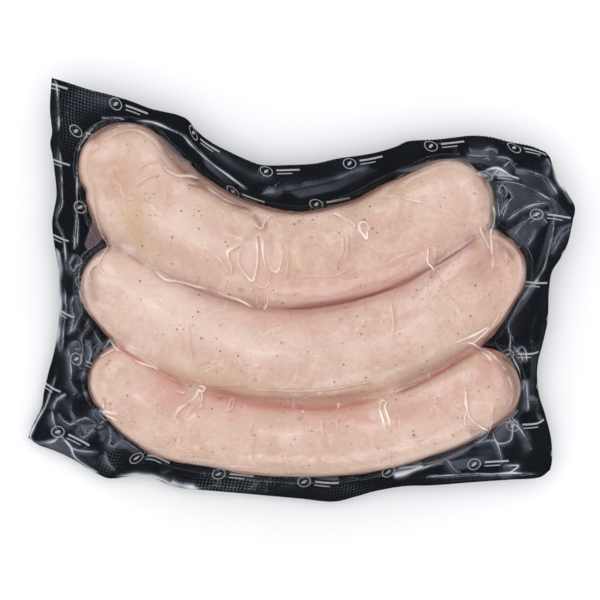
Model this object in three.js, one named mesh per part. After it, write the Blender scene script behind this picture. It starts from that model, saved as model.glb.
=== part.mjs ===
// Vacuum pack of three bent sausages: a black backing film, the sausages side by side on it,
// and a clear cover film drawn down over them and sealed to the backing all around.
// Millimetres. +X runs along the sausages, +Y across the pack, +Z up from the table.
import * as THREE from "three";

// Films
const FILM = 0.4;
const GAP = 0.3;
const COLUMNS = 32;
const ROWS = 28;
// Room between a sausage and the films, sideways and in height
const ROOM_SIDE = 2.1;
const ROOM_HEIGHT = 1.8;
// How far the cover film takes to come down from a sausage to the flange
const WALL = 8;
// Rounding of the cover film where it bridges the valley between two sausages
const VALLEY = 3;
// How far the lowest film is pressed flat where the pack lies on the table
const BELLY = 0.6;
// Flange heights at the corners: left bottom, right bottom, left top, right top
const CORNERS = [5, 8, 12, 12];
const WAVE = 1.3;

// Each sausage: its middle line as [x, y, half width] and its half height
const SAUSAGES = [
  {
    name: "sausage_top", halfHeight: 14.4, capLeft: 0.98, capRight: 0.95,
    line: [[-64, 45, 17], [-46.8, 27.2, 17.8], [-25.5, 16.2, 17.7], [0, 11.5, 17.4], [24.4, 16.6, 17.4],
      [42, 25.6, 17.1], [55.2, 32.3, 16.2]],
  },
  {
    name: "sausage_middle", halfHeight: 14.7, capLeft: 0.98, capRight: 0.86,
    line: [[-65, -3.6, 15.4], [-45.6, -15.2, 15.7], [-24.4, -22.1, 16.8], [0, -25.1, 17.4], [24.4, -21.4, 17.2],
      [47.3, -13, 16.6], [67, -0.4, 15.8]],
  },
  {
    name: "sausage_bottom", halfHeight: 14.9, capLeft: 0.98, capRight: 0.92,
    line: [[-63.6, -39, 13], [-43.3, -49.8, 12.7], [-22.5, -54, 12.9], [0, -56.7, 12.8], [22.5, -55, 13.1],
      [43.3, -49.6, 13.6], [65.4, -39.8, 14.2]],
  },
];

// The pack's outline as four edges, corner to corner
const EDGE_TOP = [[-93, 79.5], [-78.8, 75.4], [-63.8, 70.9], [-50.6, 66.8], [-42.8, 64.5], [-35.3, 56.3],
  [-24.4, 50.3], [-11.3, 46.9], [5.6, 47.6], [20.6, 49.5], [35.6, 54], [50.6, 55.9], [65.6, 58.5],
  [80.6, 56.3], [93, 51.8]];
const EDGE_RIGHT = [[93, 51.8], [96, 43.1], [102.8, 30.8], [102, 24.4], [97.5, 12], [93.8, 1.9],
  [93, -11.3], [90, -24.4], [89.6, -35.6], [91.9, -48.8], [94.9, -60], [94.5, -67.9]];
const EDGE_BOTTOM = [[-102.8, -56.6], [-94.5, -60.4], [-85.5, -65.3], [-73.1, -70.9], [-56.3, -70.1],
  [-43.1, -75], [-18.8, -77.3], [12.4, -79.5], [33, -74.6], [63.8, -72], [90, -70.1], [94.5, -67.9]];
const EDGE_LEFT = [[-93, 79.5], [-93.8, 67.5], [-94.1, 55.1], [-91.5, 37.5], [-93, 26.3], [-90.8, 10.5],
  [-90.4, -3.8], [-93, -23.3], [-96, -35.6], [-97.5, -43.1], [-102.8, -56.6]];

const curve = (points) => new THREE.CatmullRomCurve3(
  points.map(([x, y]) => new THREE.Vector3(x, y, 0)), false, "centripetal");
const lerp = THREE.MathUtils.lerp;

// A value read off the third column of a sausage's line, t from 0 to 1
function halfWidth(line, t) {
  const place = Math.min(Math.max(t, 0), 1) * (line.length - 1);
  const i = Math.min(Math.floor(place), line.length - 2);
  const s = place - i;
  return lerp(line[i][2], line[i + 1][2], s * s * (3 - 2 * s));
}

for (const sausage of SAUSAGES) {
  sausage.axis = curve(sausage.line);
  sausage.middle = FILM + ROOM_HEIGHT - BELLY + sausage.halfHeight;
  sausage.samples = Array.from({ length: 61 }, (_, i) => {
    const t = i / 60;
    return { t, point: sausage.axis.getPoint(t), tangent: sausage.axis.getTangent(t) };
  });
}

// Share of the way from a sausage's middle line (0) to its outline (1) at a place on the plan,
// with the outline grown by room
function reach(sausage, x, y, room) {
  let best = Infinity;
  for (const { t, point, tangent } of sausage.samples) {
    const dx = x - point.x;
    const dy = y - point.y;
    const along = dx * tangent.x + dy * tangent.y;
    const across = dx * tangent.y - dy * tangent.x;
    const a = halfWidth(sausage.line, t) + room;
    const cap = t === 0 ? sausage.capLeft : t === 1 ? sausage.capRight : 1;
    const inside = t > 0 && t < 1;
    const value = inside ? Math.hypot(dx, dy) / a : Math.hypot(across / a, along / (a * cap));
    best = Math.min(best, value);
  }
  return best;
}

// The pack's plan: four edges blended into a patch, u from left to right and v from top to bottom
const EDGES = { top: curve(EDGE_TOP), right: curve(EDGE_RIGHT), bottom: curve(EDGE_BOTTOM), left: curve(EDGE_LEFT) };
function plan(u, v) {
  const top = EDGES.top.getPointAt(u);
  const bottom = EDGES.bottom.getPointAt(u);
  const left = EDGES.left.getPointAt(v);
  const right = EDGES.right.getPointAt(v);
  const at = (k) => {
    const a = EDGES.top.getPoint(0)[k];
    const b = EDGES.top.getPoint(1)[k];
    const c = EDGES.bottom.getPoint(0)[k];
    const d = EDGES.bottom.getPoint(1)[k];
    return lerp(top[k], bottom[k], v) + lerp(left[k], right[k], u)
      - lerp(lerp(a, b, u), lerp(c, d, u), v);
  };
  return [at("x"), at("y")];
}

// Height of the free flange, with slow waves along its edges
function flange(u, v) {
  const tilt = lerp(lerp(CORNERS[2], CORNERS[3], u), lerp(CORNERS[0], CORNERS[1], u), v);
  return tilt + WAVE * (Math.sin(13 * u + 4 * v) * 0.6 + Math.sin(11 * v - 5 * u + 1.5) * 0.5);
}

// Underside of the backing: the flange, dipping under each sausage
function backingHeight(x, y, u, v) {
  let z = flange(u, v);
  for (const sausage of SAUSAGES) {
    const r = reach(sausage, x, y, ROOM_SIDE);
    if (r < 1) {
      const drop = (sausage.halfHeight + ROOM_HEIGHT) * Math.sqrt(1 - r * r);
      z = Math.min(z, sausage.middle - FILM - drop);
    }
  }
  return Math.max(z, 0);
}

// Underside of the cover: over the sausages, down the wall beside them and out on the flange
function coverHeight(x, y, u, v, backing) {
  const rest = Math.max(backing, flange(u, v)) + FILM + GAP;
  let hump = 0;
  for (const sausage of SAUSAGES) {
    const r = reach(sausage, x, y, ROOM_SIDE);
    const a = halfWidth(sausage.line, 0.5) + ROOM_SIDE;
    const top = sausage.middle + (sausage.halfHeight + ROOM_HEIGHT) * Math.sqrt(Math.max(1 - r * r, 0)) - rest;
    const away = Math.max(r - 1, 0) * a / WALL;
    const fall = away < 1 ? (1 - away) * (1 - away) : 0;
    const h = top * fall;
    // Smooth maximum, so that the film bridges a valley in a round
    const k = Math.max(VALLEY - Math.abs(h - hump), 0) / VALLEY;
    hump = Math.max(h, hump) + k * k * VALLEY * 0.25 * (hump > 0 && h > 0 ? 1 : 0);
  }
  return rest + hump;
}

// A thin closed sheet over the plan: both faces carry the same split, joined by a rim
function sheet(name, height, color, opacity) {
  const flat = new THREE.PlaneGeometry(1, 1, COLUMNS, ROWS);
  const uv = flat.getAttribute("uv");
  const n = uv.count;
  const points = [];
  for (let i = 0; i < n; i += 1) {
    const u = uv.getX(i);
    const v = 1 - uv.getY(i);
    const [x, y] = plan(u, v);
    points.push([x, y, height(x, y, u, v)]);
  }
  const positions = new Float32Array(n * 6);
  points.forEach(([x, y, z], i) => {
    positions.set([x, y, z + FILM], i * 3);
    positions.set([x, y, z], (n + i) * 3);
  });
  const index = [];
  const faces = flat.getIndex().array;
  for (let i = 0; i < faces.length; i += 3) {
    const [a, b, c] = [faces[i], faces[i + 1], faces[i + 2]];
    index.push(a, b, c, n + a, n + c, n + b);
  }
  const rim = [];
  for (let i = 0; i < COLUMNS; i += 1) rim.push(i);
  for (let j = 0; j < ROWS; j += 1) rim.push(j * (COLUMNS + 1) + COLUMNS);
  for (let i = COLUMNS; i > 0; i -= 1) rim.push(ROWS * (COLUMNS + 1) + i);
  for (let j = ROWS; j > 0; j -= 1) rim.push(j * (COLUMNS + 1));
  rim.forEach((a, k) => {
    const b = rim[(k + 1) % rim.length];
    index.push(a, b, n + b, a, n + b, n + a);
  });
  const solid = new THREE.BufferGeometry();
  solid.setAttribute("position", new THREE.BufferAttribute(positions, 3));
  solid.setIndex(index);
  solid.computeVertexNormals();
  const material = new THREE.MeshStandardMaterial({ color, roughness: 0.25, transparent: opacity < 1, opacity });
  const mesh = new THREE.Mesh(solid, material);
  mesh.name = name;
  return mesh;
}

// A sausage: a capsule bent along its middle line, wider than high, with rounded ends
function sausageMesh({ name, line, axis, middle, halfHeight, capLeft, capRight }) {
  const solid = new THREE.CapsuleGeometry(1, 2, 5, 18, 14);
  const at = solid.getAttribute("position");
  for (let i = 0; i < at.count; i += 1) {
    const t = Math.min(Math.max((at.getY(i) + 1) / 2, 0), 1);
    const past = at.getY(i) > 1 ? (at.getY(i) - 1) * capRight : Math.min(at.getY(i) + 1, 0) * capLeft;
    const a = halfWidth(line, t);
    const point = axis.getPoint(t);
    const tangent = axis.getTangent(t);
    at.setXYZ(i,
      point.x + tangent.x * past * a + tangent.y * at.getX(i) * a,
      point.y + tangent.y * past * a - tangent.x * at.getX(i) * a,
      middle + at.getZ(i) * halfHeight);
  }
  solid.computeVertexNormals();
  const mesh = new THREE.Mesh(solid, new THREE.MeshStandardMaterial({ color: 0xdcb8a6, roughness: 0.45 }));
  mesh.name = name;
  return mesh;
}

const pack = new THREE.Group();
pack.name = "sausage_pack";
pack.add(sheet("back_film", backingHeight, 0x15181f, 1));
for (const sausage of SAUSAGES) pack.add(sausageMesh(sausage));
pack.add(sheet("clear_film", (x, y, u, v) => coverHeight(x, y, u, v, backingHeight(x, y, u, v)), 0xe8eef2, 0.3));
export default pack;
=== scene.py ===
import bpy
import numpy as np
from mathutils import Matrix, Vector


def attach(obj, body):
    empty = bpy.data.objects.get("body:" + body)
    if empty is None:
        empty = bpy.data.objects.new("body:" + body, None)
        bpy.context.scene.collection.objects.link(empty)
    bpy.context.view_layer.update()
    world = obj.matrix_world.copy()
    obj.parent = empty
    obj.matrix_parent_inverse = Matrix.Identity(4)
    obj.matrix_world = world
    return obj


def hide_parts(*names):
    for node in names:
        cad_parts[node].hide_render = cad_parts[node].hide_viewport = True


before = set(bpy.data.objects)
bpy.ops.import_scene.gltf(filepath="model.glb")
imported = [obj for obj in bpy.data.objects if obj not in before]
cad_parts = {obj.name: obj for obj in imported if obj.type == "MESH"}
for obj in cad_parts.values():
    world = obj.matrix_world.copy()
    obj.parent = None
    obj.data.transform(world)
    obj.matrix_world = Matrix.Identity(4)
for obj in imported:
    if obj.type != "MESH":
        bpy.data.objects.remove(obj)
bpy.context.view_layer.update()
scene = bpy.context.scene

# The three sausages: fresh bratwurst of coarse pale pork with pepper and herbs, filled into natural casings,
# which bent them. They lie side by side, pressed a little flat and against each other by the vacuum. The wet
# casing shows the meat's mottling, so colour comes from inside and gloss from the film.
PLAN = 0.375e-3  # metres for one unit of the plan drawing
PLAN_MIDDLE = (300, 290)  # the plan's point above the origin

# Middle line of each, as [x, y, half width] on the plan, with half height and end lengths
SAUSAGES = {
    "sausage_top": dict(
        line=[[126, 168, 45.5], [145.3, 198.8, 56.7], [174.5, 224.8, 56.2], [231.4, 250.4, 52], [300, 262, 50],
              [365.6, 248.4, 50.3], [413.9, 224.8, 50.3], [448.4, 206.4, 46.5]],
        half_height=0.0147, ends=(0.98, 0.98), bottom=0.0007),
    "sausage_middle": dict(
        line=[[124.5, 288, 44.5], [150, 310.5, 47.5], [182, 331, 48.6], [235, 349, 49.6], [300, 357.2, 51],
              [365, 347.5, 51], [426, 323, 50], [457, 301, 48], [482, 272, 43.5]],
        half_height=0.0150, ends=(0.98, 1.0), bottom=0.0007),
    "sausage_bottom": dict(
        line=[[128, 380, 38.5], [151.2, 402.8, 41.2], [184.6, 420.1, 40.2], [240.3, 431.6, 39], [300, 438, 37.6],
              [359.5, 433.5, 38.4], [414.4, 418.6, 40.4], [449.3, 403.3, 42], [478, 388, 41]],
        half_height=0.0152, ends=(0.98, 1.0), bottom=0.0007),
}


def on_plan(points):
    """Plan drawing to metres: x right and y down, one unit PLAN long, PLAN_MIDDLE above the origin."""
    p = np.asarray(points, float)
    return np.stack([(p[..., 0] - PLAN_MIDDLE[0]) * PLAN, (PLAN_MIDDLE[1] - p[..., 1]) * PLAN], -1)


def smooth(points, at):
    """Points of the Catmull-Rom curve through points, at a share 0 to 1 of the way. Between b and c, with
    neighbours a and d: (2b + (c - a) t + (2a - 5b + 4c - d) t^2 + (3b - a - 3c + d) t^3) / 2."""
    p = np.asarray(points, float)
    p = np.concatenate([2 * p[:1] - p[1:2], p, 2 * p[-1:] - p[-2:-1]])
    place = np.clip(np.asarray(at, float), 0, 1) * (len(p) - 3)
    i = np.minimum(place.astype(int), len(p) - 4)
    t = (place - i)[..., None]
    a, b, c, d = p[i], p[i + 1], p[i + 2], p[i + 3]
    return (2 * b + (c - a) * t + (2 * a - 5 * b + 4 * c - d) * t**2 + (3 * b - a - 3 * c + d) * t**3) / 2


def waves(seed, count, longest, shortest):
    """Random waves for lumps and wobble: directions, wavenumbers between the two wavelengths, phases."""
    draw = np.random.default_rng(seed)
    way = draw.normal(size=(count, 3))
    way /= np.linalg.norm(way, axis=1)[:, None]
    length = longest * (shortest / longest) ** draw.random(count)
    return way * (2 * np.pi / length)[:, None], draw.random(count) * 2 * np.pi, length / longest


def wobble(xyz, wave):
    """Mean of sin(k . p + phase), each wave weighted by its length; about -1 to 1."""
    k, phase, weight = wave
    total = sum(w * np.sin(xyz @ kk + ph) for kk, ph, w in zip(k, phase, weight))
    return total / np.sqrt(np.sum(weight**2)) / 1.6


# Lumps of the filling and puckers of the casing, with their heights in metres
LUMPS = waves(3, 14, 0.045, 0.014)
LUMP_SIZE = 0.0005
PUCKERS = waves(7, 22, 0.009, 0.0035)
PUCKER_SIZE = 0.00009
PRESSED = 2.5  # 2 is a plain oval section; more is squarer
CALM = (0.98, 1.4)  # lumps fade between these two reaches of a neighbour


def sausage_axis(s, count=241):
    """Middle line sampled evenly: place, unit direction and half width."""
    at = smooth(s["line"], np.linspace(0, 1, count))
    xy = on_plan(at[:, :2])
    way = np.gradient(xy, axis=0)
    way /= np.linalg.norm(way, axis=1)[:, None]
    return xy, way, at[:, 2] * PLAN


def sausage_surface(s, others, along=210, cap=40, around=236):
    """Rings along the middle line: p = axis + along x + across y + up z, with (x, y, z) on the rounded box
    (hypot(x, y) / half_width)^PRESSED + (z / half_height)^PRESSED = 1; the ends take x from 0 to its most.
    Lumps stand along the normal and fade where a neighbour lies near."""
    xy, way, half = sausage_axis(s, along)
    a = np.linspace(0, np.pi / 2, cap + 1)[1:-1]
    grow = np.concatenate([np.sin(a), np.ones(along), np.sin(a[::-1])])
    push = np.concatenate([-np.cos(a) * s["ends"][0], np.zeros(along), np.cos(a[::-1]) * s["ends"][1]])
    ends = np.concatenate([np.full(cap - 1, s["ends"][0]), np.ones(along), np.full(cap - 1, s["ends"][1])])
    row = np.concatenate([np.zeros(cap - 1, int), np.arange(along), np.full(cap - 1, along - 1)])
    b = np.linspace(0, 2 * np.pi, around, endpoint=False)
    middle = s["bottom"] + s["half_height"]
    xy, way, half = xy[row], way[row], half[row]
    x = np.broadcast_to(push[:, None], (len(row), around))
    y, z = grow[:, None] * np.cos(b)[None], grow[:, None] * np.sin(b)[None]
    size = (np.hypot(x / ends[:, None], y) ** PRESSED + np.abs(z) ** PRESSED) ** (-1 / PRESSED)
    x, y, z = x * size, y * size, z * size
    across = np.stack([way[:, 1], -way[:, 0]], -1)
    ring = np.empty((len(row), around, 3))
    ring[..., :2] = (xy[:, None] + way[:, None] * (x * half[:, None])[..., None]
                     + across[:, None] * (y * half[:, None])[..., None])
    ring[..., 2] = middle + z * s["half_height"]
    poles = np.stack([np.append(xy[0] - way[0] * half[0] * s["ends"][0], middle),
                      np.append(xy[-1] + way[-1] * half[-1] * s["ends"][1], middle)])
    out = np.stack([y * across[:, 0, None] + x * way[:, 0, None], y * across[:, 1, None] + x * way[:, 1, None], z], -1)
    out /= np.linalg.norm(out, axis=-1)[..., None]
    calm = soft(*CALM, np.minimum(*[reach(other, ring[..., :2])[0] for other in others]))
    ring = ring + out * (calm * (LUMP_SIZE * wobble(ring, LUMPS) + PUCKER_SIZE * wobble(ring, PUCKERS)))[..., None]
    ring[..., 2] = np.maximum(ring[..., 2], s["bottom"] * 0.5)
    return ring, poles, out


def to_mesh(name, points, quads, triangles=()):
    """A smooth-shaded mesh object from arrays of points, quads and triangles."""
    mesh = bpy.data.meshes.new(name)
    mesh.from_pydata(points, [], [])
    quads = np.asarray(quads, np.int32).reshape(-1, 4)
    triangles = np.asarray(triangles, np.int32).reshape(-1, 3)
    loops = np.concatenate([quads.ravel(), triangles.ravel()])
    starts = np.concatenate([np.arange(len(quads)) * 4, len(quads) * 4 + np.arange(len(triangles)) * 3])
    mesh.loops.add(len(loops))
    mesh.polygons.add(len(starts))
    mesh.loops.foreach_set("vertex_index", loops)
    mesh.polygons.foreach_set("loop_start", starts.astype(np.int32))
    mesh.update(calc_edges=True)
    mesh.validate()
    mesh.polygons.foreach_set("use_smooth", np.ones(len(mesh.polygons), bool))
    piece = bpy.data.objects.new(name, mesh)
    scene.collection.objects.link(piece)
    return piece


def ring_mesh(name, ring, poles):
    """Quads between neighbouring rings, and a fan of triangles at each pole."""
    n, m = ring.shape[:2]
    points = np.concatenate([ring.reshape(-1, 3), poles])
    i = np.arange(n - 1)[:, None] * m
    j = np.arange(m)[None]
    k = (j + 1) % m
    quads = np.stack([i + j, i + k, i + m + k, i + m + j], -1)
    j, k = j[0], k[0]
    first = np.stack([np.full(m, n * m), k, j], -1)
    last = np.stack([np.full(m, n * m + 1), (n - 1) * m + j, (n - 1) * m + k], -1)
    return to_mesh(name, points, quads, np.concatenate([first, last]))


def mark(piece, name, values):
    """Stores one number for each vertex under a name that the material reads."""
    piece.data.attributes.new(name, "FLOAT", "POINT").data.foreach_set("value", np.asarray(values, np.float32).ravel())


FAR = 0.035  # places farther than this from a middle line, in metres, count as out of reach


def reach(s, xy):
    """Share of the way from a sausage's middle line, 0, to its outline, 1, and the share along the line."""
    axis, way, half = sausage_axis(s, 121)
    flat = xy.reshape(-1, 2)
    low, high = axis.min(0) - FAR, axis.max(0) + FAR
    near = np.flatnonzero(((flat > low) & (flat < high)).all(1))
    r = np.full(len(flat), 9.0)
    at = np.zeros(len(flat))
    for part in np.array_split(near, max(len(near) // 20000, 1)):
        gap = flat[part, None] - axis[None]
        i = np.argmin((gap**2).sum(-1), 1)
        gap = flat[part] - axis[i]
        along = (gap * way[i]).sum(-1)
        across = gap[:, 0] * way[i, 1] - gap[:, 1] * way[i, 0]
        end = np.where(i == 0, s["ends"][0], np.where(i == len(axis) - 1, s["ends"][1], 1e9))
        along = np.where(end < 1e6, along, 0)
        r[part] = np.hypot(across, along / end) / half[i]
        at[part] = i / (len(axis) - 1)
    return r.reshape(xy.shape[:-1]), at.reshape(xy.shape[:-1])


def depth(s, xyz):
    """0 on the middle line of a sausage and 1 at its skin:
    (reach^PRESSED + |z / half_height|^PRESSED)^(1 / PRESSED)."""
    z = np.abs(xyz[..., 2] - s["bottom"] - s["half_height"]) / s["half_height"]
    return (reach(s, xyz[..., :2])[0] ** PRESSED + z**PRESSED) ** (1 / PRESSED)


def top_of(s, found, room):
    """Height of a sausage's top with room around it, from what reach found: middle + (half_height + room)
    (1 - reach^PRESSED)^(1 / PRESSED), with the reach shrunk by the room; -1 outside."""
    r, at = found
    half = np.interp(at, np.linspace(0, 1, len(s["line"])), np.array(s["line"])[:, 2]) * PLAN
    r = r * half / (half + room)
    z = s["bottom"] + s["half_height"] + (s["half_height"] + room) * (1 - np.clip(r, 0, 1) ** PRESSED) ** (1 / PRESSED)
    return np.where(r < 1, z, -1.0)


def height_share(s, xyz):
    """0 at the middle height of a sausage, 1 at its crest."""
    return (xyz[..., 2] - s["bottom"] - s["half_height"]) / s["half_height"]


FILL = 0.007  # a valley is filled where its two sides differ in height by less than this
DEEPEST = 0.008  # the most that a skin goes back, in metres
OVERLAP = 0.0003  # two pressed skins overlap by this, so no slot shows between them


def press(s, other, ring, out):
    """Where a sausage would stand inside its neighbour, its skin goes back along the normal, by halving, to the
    flat face where both are equally deep."""
    flat, normal = ring.reshape(-1, 3), out.reshape(-1, 3)
    inside = np.flatnonzero(depth(other, flat) < 1)
    low, high = np.zeros(len(inside)), np.full(len(inside), DEEPEST)
    for _ in range(12):
        t = (low + high) / 2
        at = flat[inside] - normal[inside] * t[:, None]
        more = depth(s, at) > depth(other, at)
        low, high = np.where(more, t, low), np.where(more, high, t)
    flat[inside] -= normal[inside] * np.maximum(high - OVERLAP, 0)[:, None]
    # The meat fills the top of the valley a little: up by FILL t^2 / 4, t falling to 0 where heights differ by FILL
    gap = np.abs(flat[:, 2] - top_of(other, reach(other, flat[:, :2]), 0))
    up = FILL / 4 * np.clip(1 - gap / FILL, 0, 1) ** 2 * soft(0.1, 0.4, height_share(s, flat))
    flat[:, 2] += up
    return flat.reshape(ring.shape)


def soft(low, high, x):
    """Smooth step from 0 at low to 1 at high: t^2 (3 - 2t)."""
    t = np.clip((x - low) / (high - low), 0, 1)
    return t * t * (3 - 2 * t)


# Patches of colour on the meat, as [x, y, width, height, turn in degrees, how strong]: pale fat with a painted sheen on
# the crests, rosy lean, tan
PALE_FAT_AND_SHEEN = [[150, 160, 40, 26, -30, 0.7], [190, 232, 46, 18, 42, 1.0], [240, 262, 30, 14, 30, 0.7],
        [440, 190, 30, 20, -10, 0.6], [160, 300, 60, 22, 32, 1.0], [230, 335, 70, 20, 18, 0.7],
        [330, 345, 60, 16, 0, 0.45], [150, 380, 36, 20, 20, 0.5], [270, 428, 60, 12, 5, 0.6],
        [400, 430, 40, 14, -12, 0.5], [470, 385, 28, 16, -20, 0.1], [420, 320, 50, 16, -22, 0.5]]
ROSY = [[130, 175, 30, 16, 0, 0.7], [250, 270, 90, 14, 14, 0.5], [330, 290, 60, 10, -8, 0.7],
        [400, 262, 50, 10, -24, 0.7], [160, 375, 24, 12, 30, 0.9], [200, 400, 50, 12, 8, 0.9],
        [350, 415, 90, 12, -4, 0.8], [430, 395, 60, 12, -20, 0.5], [280, 320, 60, 10, 5, 0.6],
        [476, 262, 28, 18, -30, 0.9], [505, 268, 16, 20, 0, 0.6], [495, 365, 24, 16, 20, 0.9]]
# Tan patches: partly painted shade along the rims and valleys
TAN_AND_RIM_SHADE = [[150, 130, 50, 10, 0, 0.8], [118, 168, 32, 40, 0, 0.4], [225, 205, 60, 8, 38, 0.7],
       [400, 190, 60, 10, -28, 0.8], [140, 240, 30, 16, 45, 0.6], [190, 255, 60, 10, 20, 0.4],
       [470, 175, 30, 10, 0, 0.7], [250, 385, 140, 10, 8, 0.7], [400, 370, 100, 12, -20, 0.8],
       [300, 468, 160, 8, 0, 0.8], [160, 455, 60, 10, 25, 0.8], [440, 455, 60, 10, -18, 0.8],
       [485, 320, 30, 16, -40, 0.5]]


# Strokes of colour, as half width in millimetres, strength, and a line of [x, y] points
# Brown strokes: painted shade along the rims, folds and valleys, partly browner meat where the film stands off
BROWN_AND_SHADE = [(1.6, 0.8, [[92, 150], [100, 138], [112, 130], [128, 126.5], [145, 127], [157, 133], [166, 146]]),
         (1.9, 0.75, [[158, 140], [170, 156], [182, 170], [196, 181], [214, 192], [232, 203], [250, 211],
                      [262, 214]]), (0.9, 0.3, [[160, 156], [166, 166], [172, 172], [180, 170]]),
         (0.5, 0.6, [[187, 186], [200, 189], [214, 195]]),
         (0.8, 0.6, [[253, 214], [260, 224], [264, 228], [268, 221]]),
         (0.6, 0.32, [[271, 232], [272, 246], [271, 258]]),
         (1.4, 0.5, [[335, 212], [352, 206], [368, 196], [384, 184], [398, 174], [415, 167], [432, 163], [450, 160],
                     [470, 160]]), (2.6, 0.5, [[466, 163], [477, 173], [484, 187], [488, 202], [489, 220]]),
         (1.6, 0.55, [[88, 205], [95, 222], [103, 235], [110, 245]]),
         (1.4, 0.35, [[200, 384], [230, 392], [260, 396], [300, 397], [335, 395], [360, 391], [378, 390]]),
         (2.4, 0.35, [[390, 388], [410, 378], [435, 366], [455, 354], [470, 345], [484, 336], [500, 318]]),
         (2.8, 0.75, [[488, 350], [497, 357], [505, 367], [511, 380], [513, 395], [509, 408], [498, 421],
                      [488, 433]]),
         (1.8, 0.35, [[100, 412], [115, 428], [140, 446], [170, 460], [210, 467], [260, 473], [300, 474], [350, 474],
                      [400, 468], [440, 458], [470, 445]]),
         (2.0, 0.6, [[465, 432], [475, 428], [484, 432], [478, 440]]),
         (3.2, 0.42, [[489, 238], [497, 246], [504, 254], [512, 262]]),
         (1.6, 0.45, [[525, 275], [520, 295], [512, 310], [505, 320]]),
         (5.0, 0.2, [[470, 242], [472, 258], [477, 272], [482, 286]]),
         (0.4, 0.55, [[262, 310], [290, 309], [320, 306], [340, 303], [360, 298], [380, 293], [400, 286], [415, 278],
                      [430, 268], [440, 262], [455, 252], [470, 243], [478, 238]]),
         (2.4, 0.3, [[94, 262], [96, 285], [102, 305]]), (1.4, 0.45, [[86, 262], [84, 285], [88, 305], [98, 325]]),
         (1.2, 0.4, [[93, 370], [91, 385], [95, 400]])]
# Mauve strokes: painted shade in the valleys between the sausages, partly juice
MAUVE_VALLEY_SHADE = [(1.4, 1.0, [[477, 234], [465, 244], [450, 254], [440, 260], [430, 266]]),
         (0.8, 0.9, [[430, 267], [415, 277], [400, 285], [380, 292], [360, 297], [340, 301], [320, 304], [290, 307]]),
         (0.8, 0.5, [[118, 248], [135, 258], [148, 267]]), (1.4, 0.4, [[420, 272], [430, 274], [428, 280]]),
         (0.7, 0.5, [[150, 270], [165, 278], [185, 284], [205, 292], [225, 299], [245, 304], [262, 308], [290, 307]]),
         (1.6, 0.9, [[86, 250], [96, 240], [103, 231]]),
         (0.7, 1.0, [[391, 392], [405, 388], [418, 382.5], [432, 375], [448, 365.5], [462, 357]]),
         (1.6, 0.5, [[483, 228], [485, 245], [487, 262]]), (1.2, 0.6, [[106, 352], [111, 346], [116, 346]])]
# Juice strokes: pink juice in the lower valley, with painted shade there
JUICE_AND_VALLEY_SHADE = [(0.8, 0.6, [[117, 343], [130, 352], [145, 362], [160, 371], [172, 379], [182, 384], [192, 392]]),
         (2.6, 0.25, [[160, 377], [175, 385], [188, 393]]),
         (1.6, 0.6, [[197, 390], [215, 394], [235, 397.5], [255, 403], [275, 405], [300, 406], [320, 408], [345, 405],
                     [365, 401], [380, 398]]), (0.4, 0.7, [[418, 382], [440, 371], [455, 362], [472, 351]]),
         (1.4, 0.6, [[483, 345], [492, 350], [500, 358]]), (2.0, 0.3, [[478, 360], [488, 362]])]
YELLOW = [(1.8, 0.6, [[143, 190], [142, 205], [140, 222], [141, 235], [140, 245]]),
          (1.2, 0.4, [[169, 190], [170, 205], [169, 217]]), (0.7, 0.4, [[105, 168], [120, 166], [135, 163]]),
          (3.0, 0.35, [[120, 215], [135, 225]]), (0.9, 0.4, [[288, 250], [289, 270], [288, 295]]),
          (1.0, 0.5, [[297, 252], [299, 266]]), (0.8, 0.3, [[225, 262], [215, 275], [222, 280]]),
          (0.4, 0.5, [[250, 220], [243, 230], [236, 245], [229, 260], [220, 268], [207, 274], [199, 279]]),
          (0.8, 0.4, [[188, 414], [193, 405], [197, 398]]), (1.2, 0.5, [[465, 363], [472, 364]])]


def stroke(xy, points, half_width, dense=7):
    """exp(-(distance / half width)^1.3) from the smooth line through points, fading at the ends of an open line,
    with the places that it touches."""
    line = on_plan(smooth(points, np.linspace(0, 1, dense * (len(points) - 1) + 1)))
    reach_out = 5 * half_width
    low, high = line.min(0) - reach_out, line.max(0) + reach_out
    near = np.flatnonzero(((xy > low) & (xy < high)).all(-1).ravel())
    p = xy.reshape(-1, 2)[near]
    a, b = line[:-1], line[1:]
    way = b - a
    length = np.linalg.norm(way, axis=1) + 1e-12
    run = np.concatenate([[0], np.cumsum(length)])
    best = np.full(len(p), 1e9)
    at = np.zeros(len(p))
    for k in range(len(a)):
        t = np.clip(((p - a[k]) @ way[k]) / length[k] ** 2, 0, 1)
        d = np.linalg.norm(p - a[k] - t[:, None] * way[k], axis=1)
        closer = d < best
        best = np.where(closer, d, best)
        at = np.where(closer, (run[k] + t * length[k]) / run[-1], at)
    closed = points[0] == points[-1]
    fade = 1.0 if closed else soft(0, 0.15, at) * soft(1, 0.85, at)
    return near, np.exp(-((best / half_width) ** 1.3)) * fade


def strokes(xy, lines):
    """The strongest of several strokes at each place."""
    total = np.zeros(len(xy))
    for half_width, strength, points in lines:
        near, share = stroke(xy, points, half_width * 1e-3)
        total[near] = np.maximum(total[near], share * strength)
    return total


def patches(xy, spots):
    """Sum of strength exp(-(u^2 + v^2)), u and v the distances along and across each turned ellipse."""
    total = np.zeros(xy.shape[:-1])
    for x, y, wide, high, turn, strength in spots:
        gap = xy - on_plan([x, y])
        a = np.radians(turn)
        u = (gap[..., 0] * np.cos(a) - gap[..., 1] * np.sin(a)) / (wide * PLAN)
        v = (gap[..., 0] * np.sin(a) + gap[..., 1] * np.cos(a)) / (high * PLAN)
        total += strength * np.exp(-u * u - v * v)
    return total


def colour(*rgb):
    """sRGB 0 to 255 to the linear colour that shaders take."""
    c = np.array(rgb, float) / 255
    return tuple(np.where(c < 0.04045, c / 12.92, ((c + 0.055) / 1.055) ** 2.4)) + (1.0,)


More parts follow.
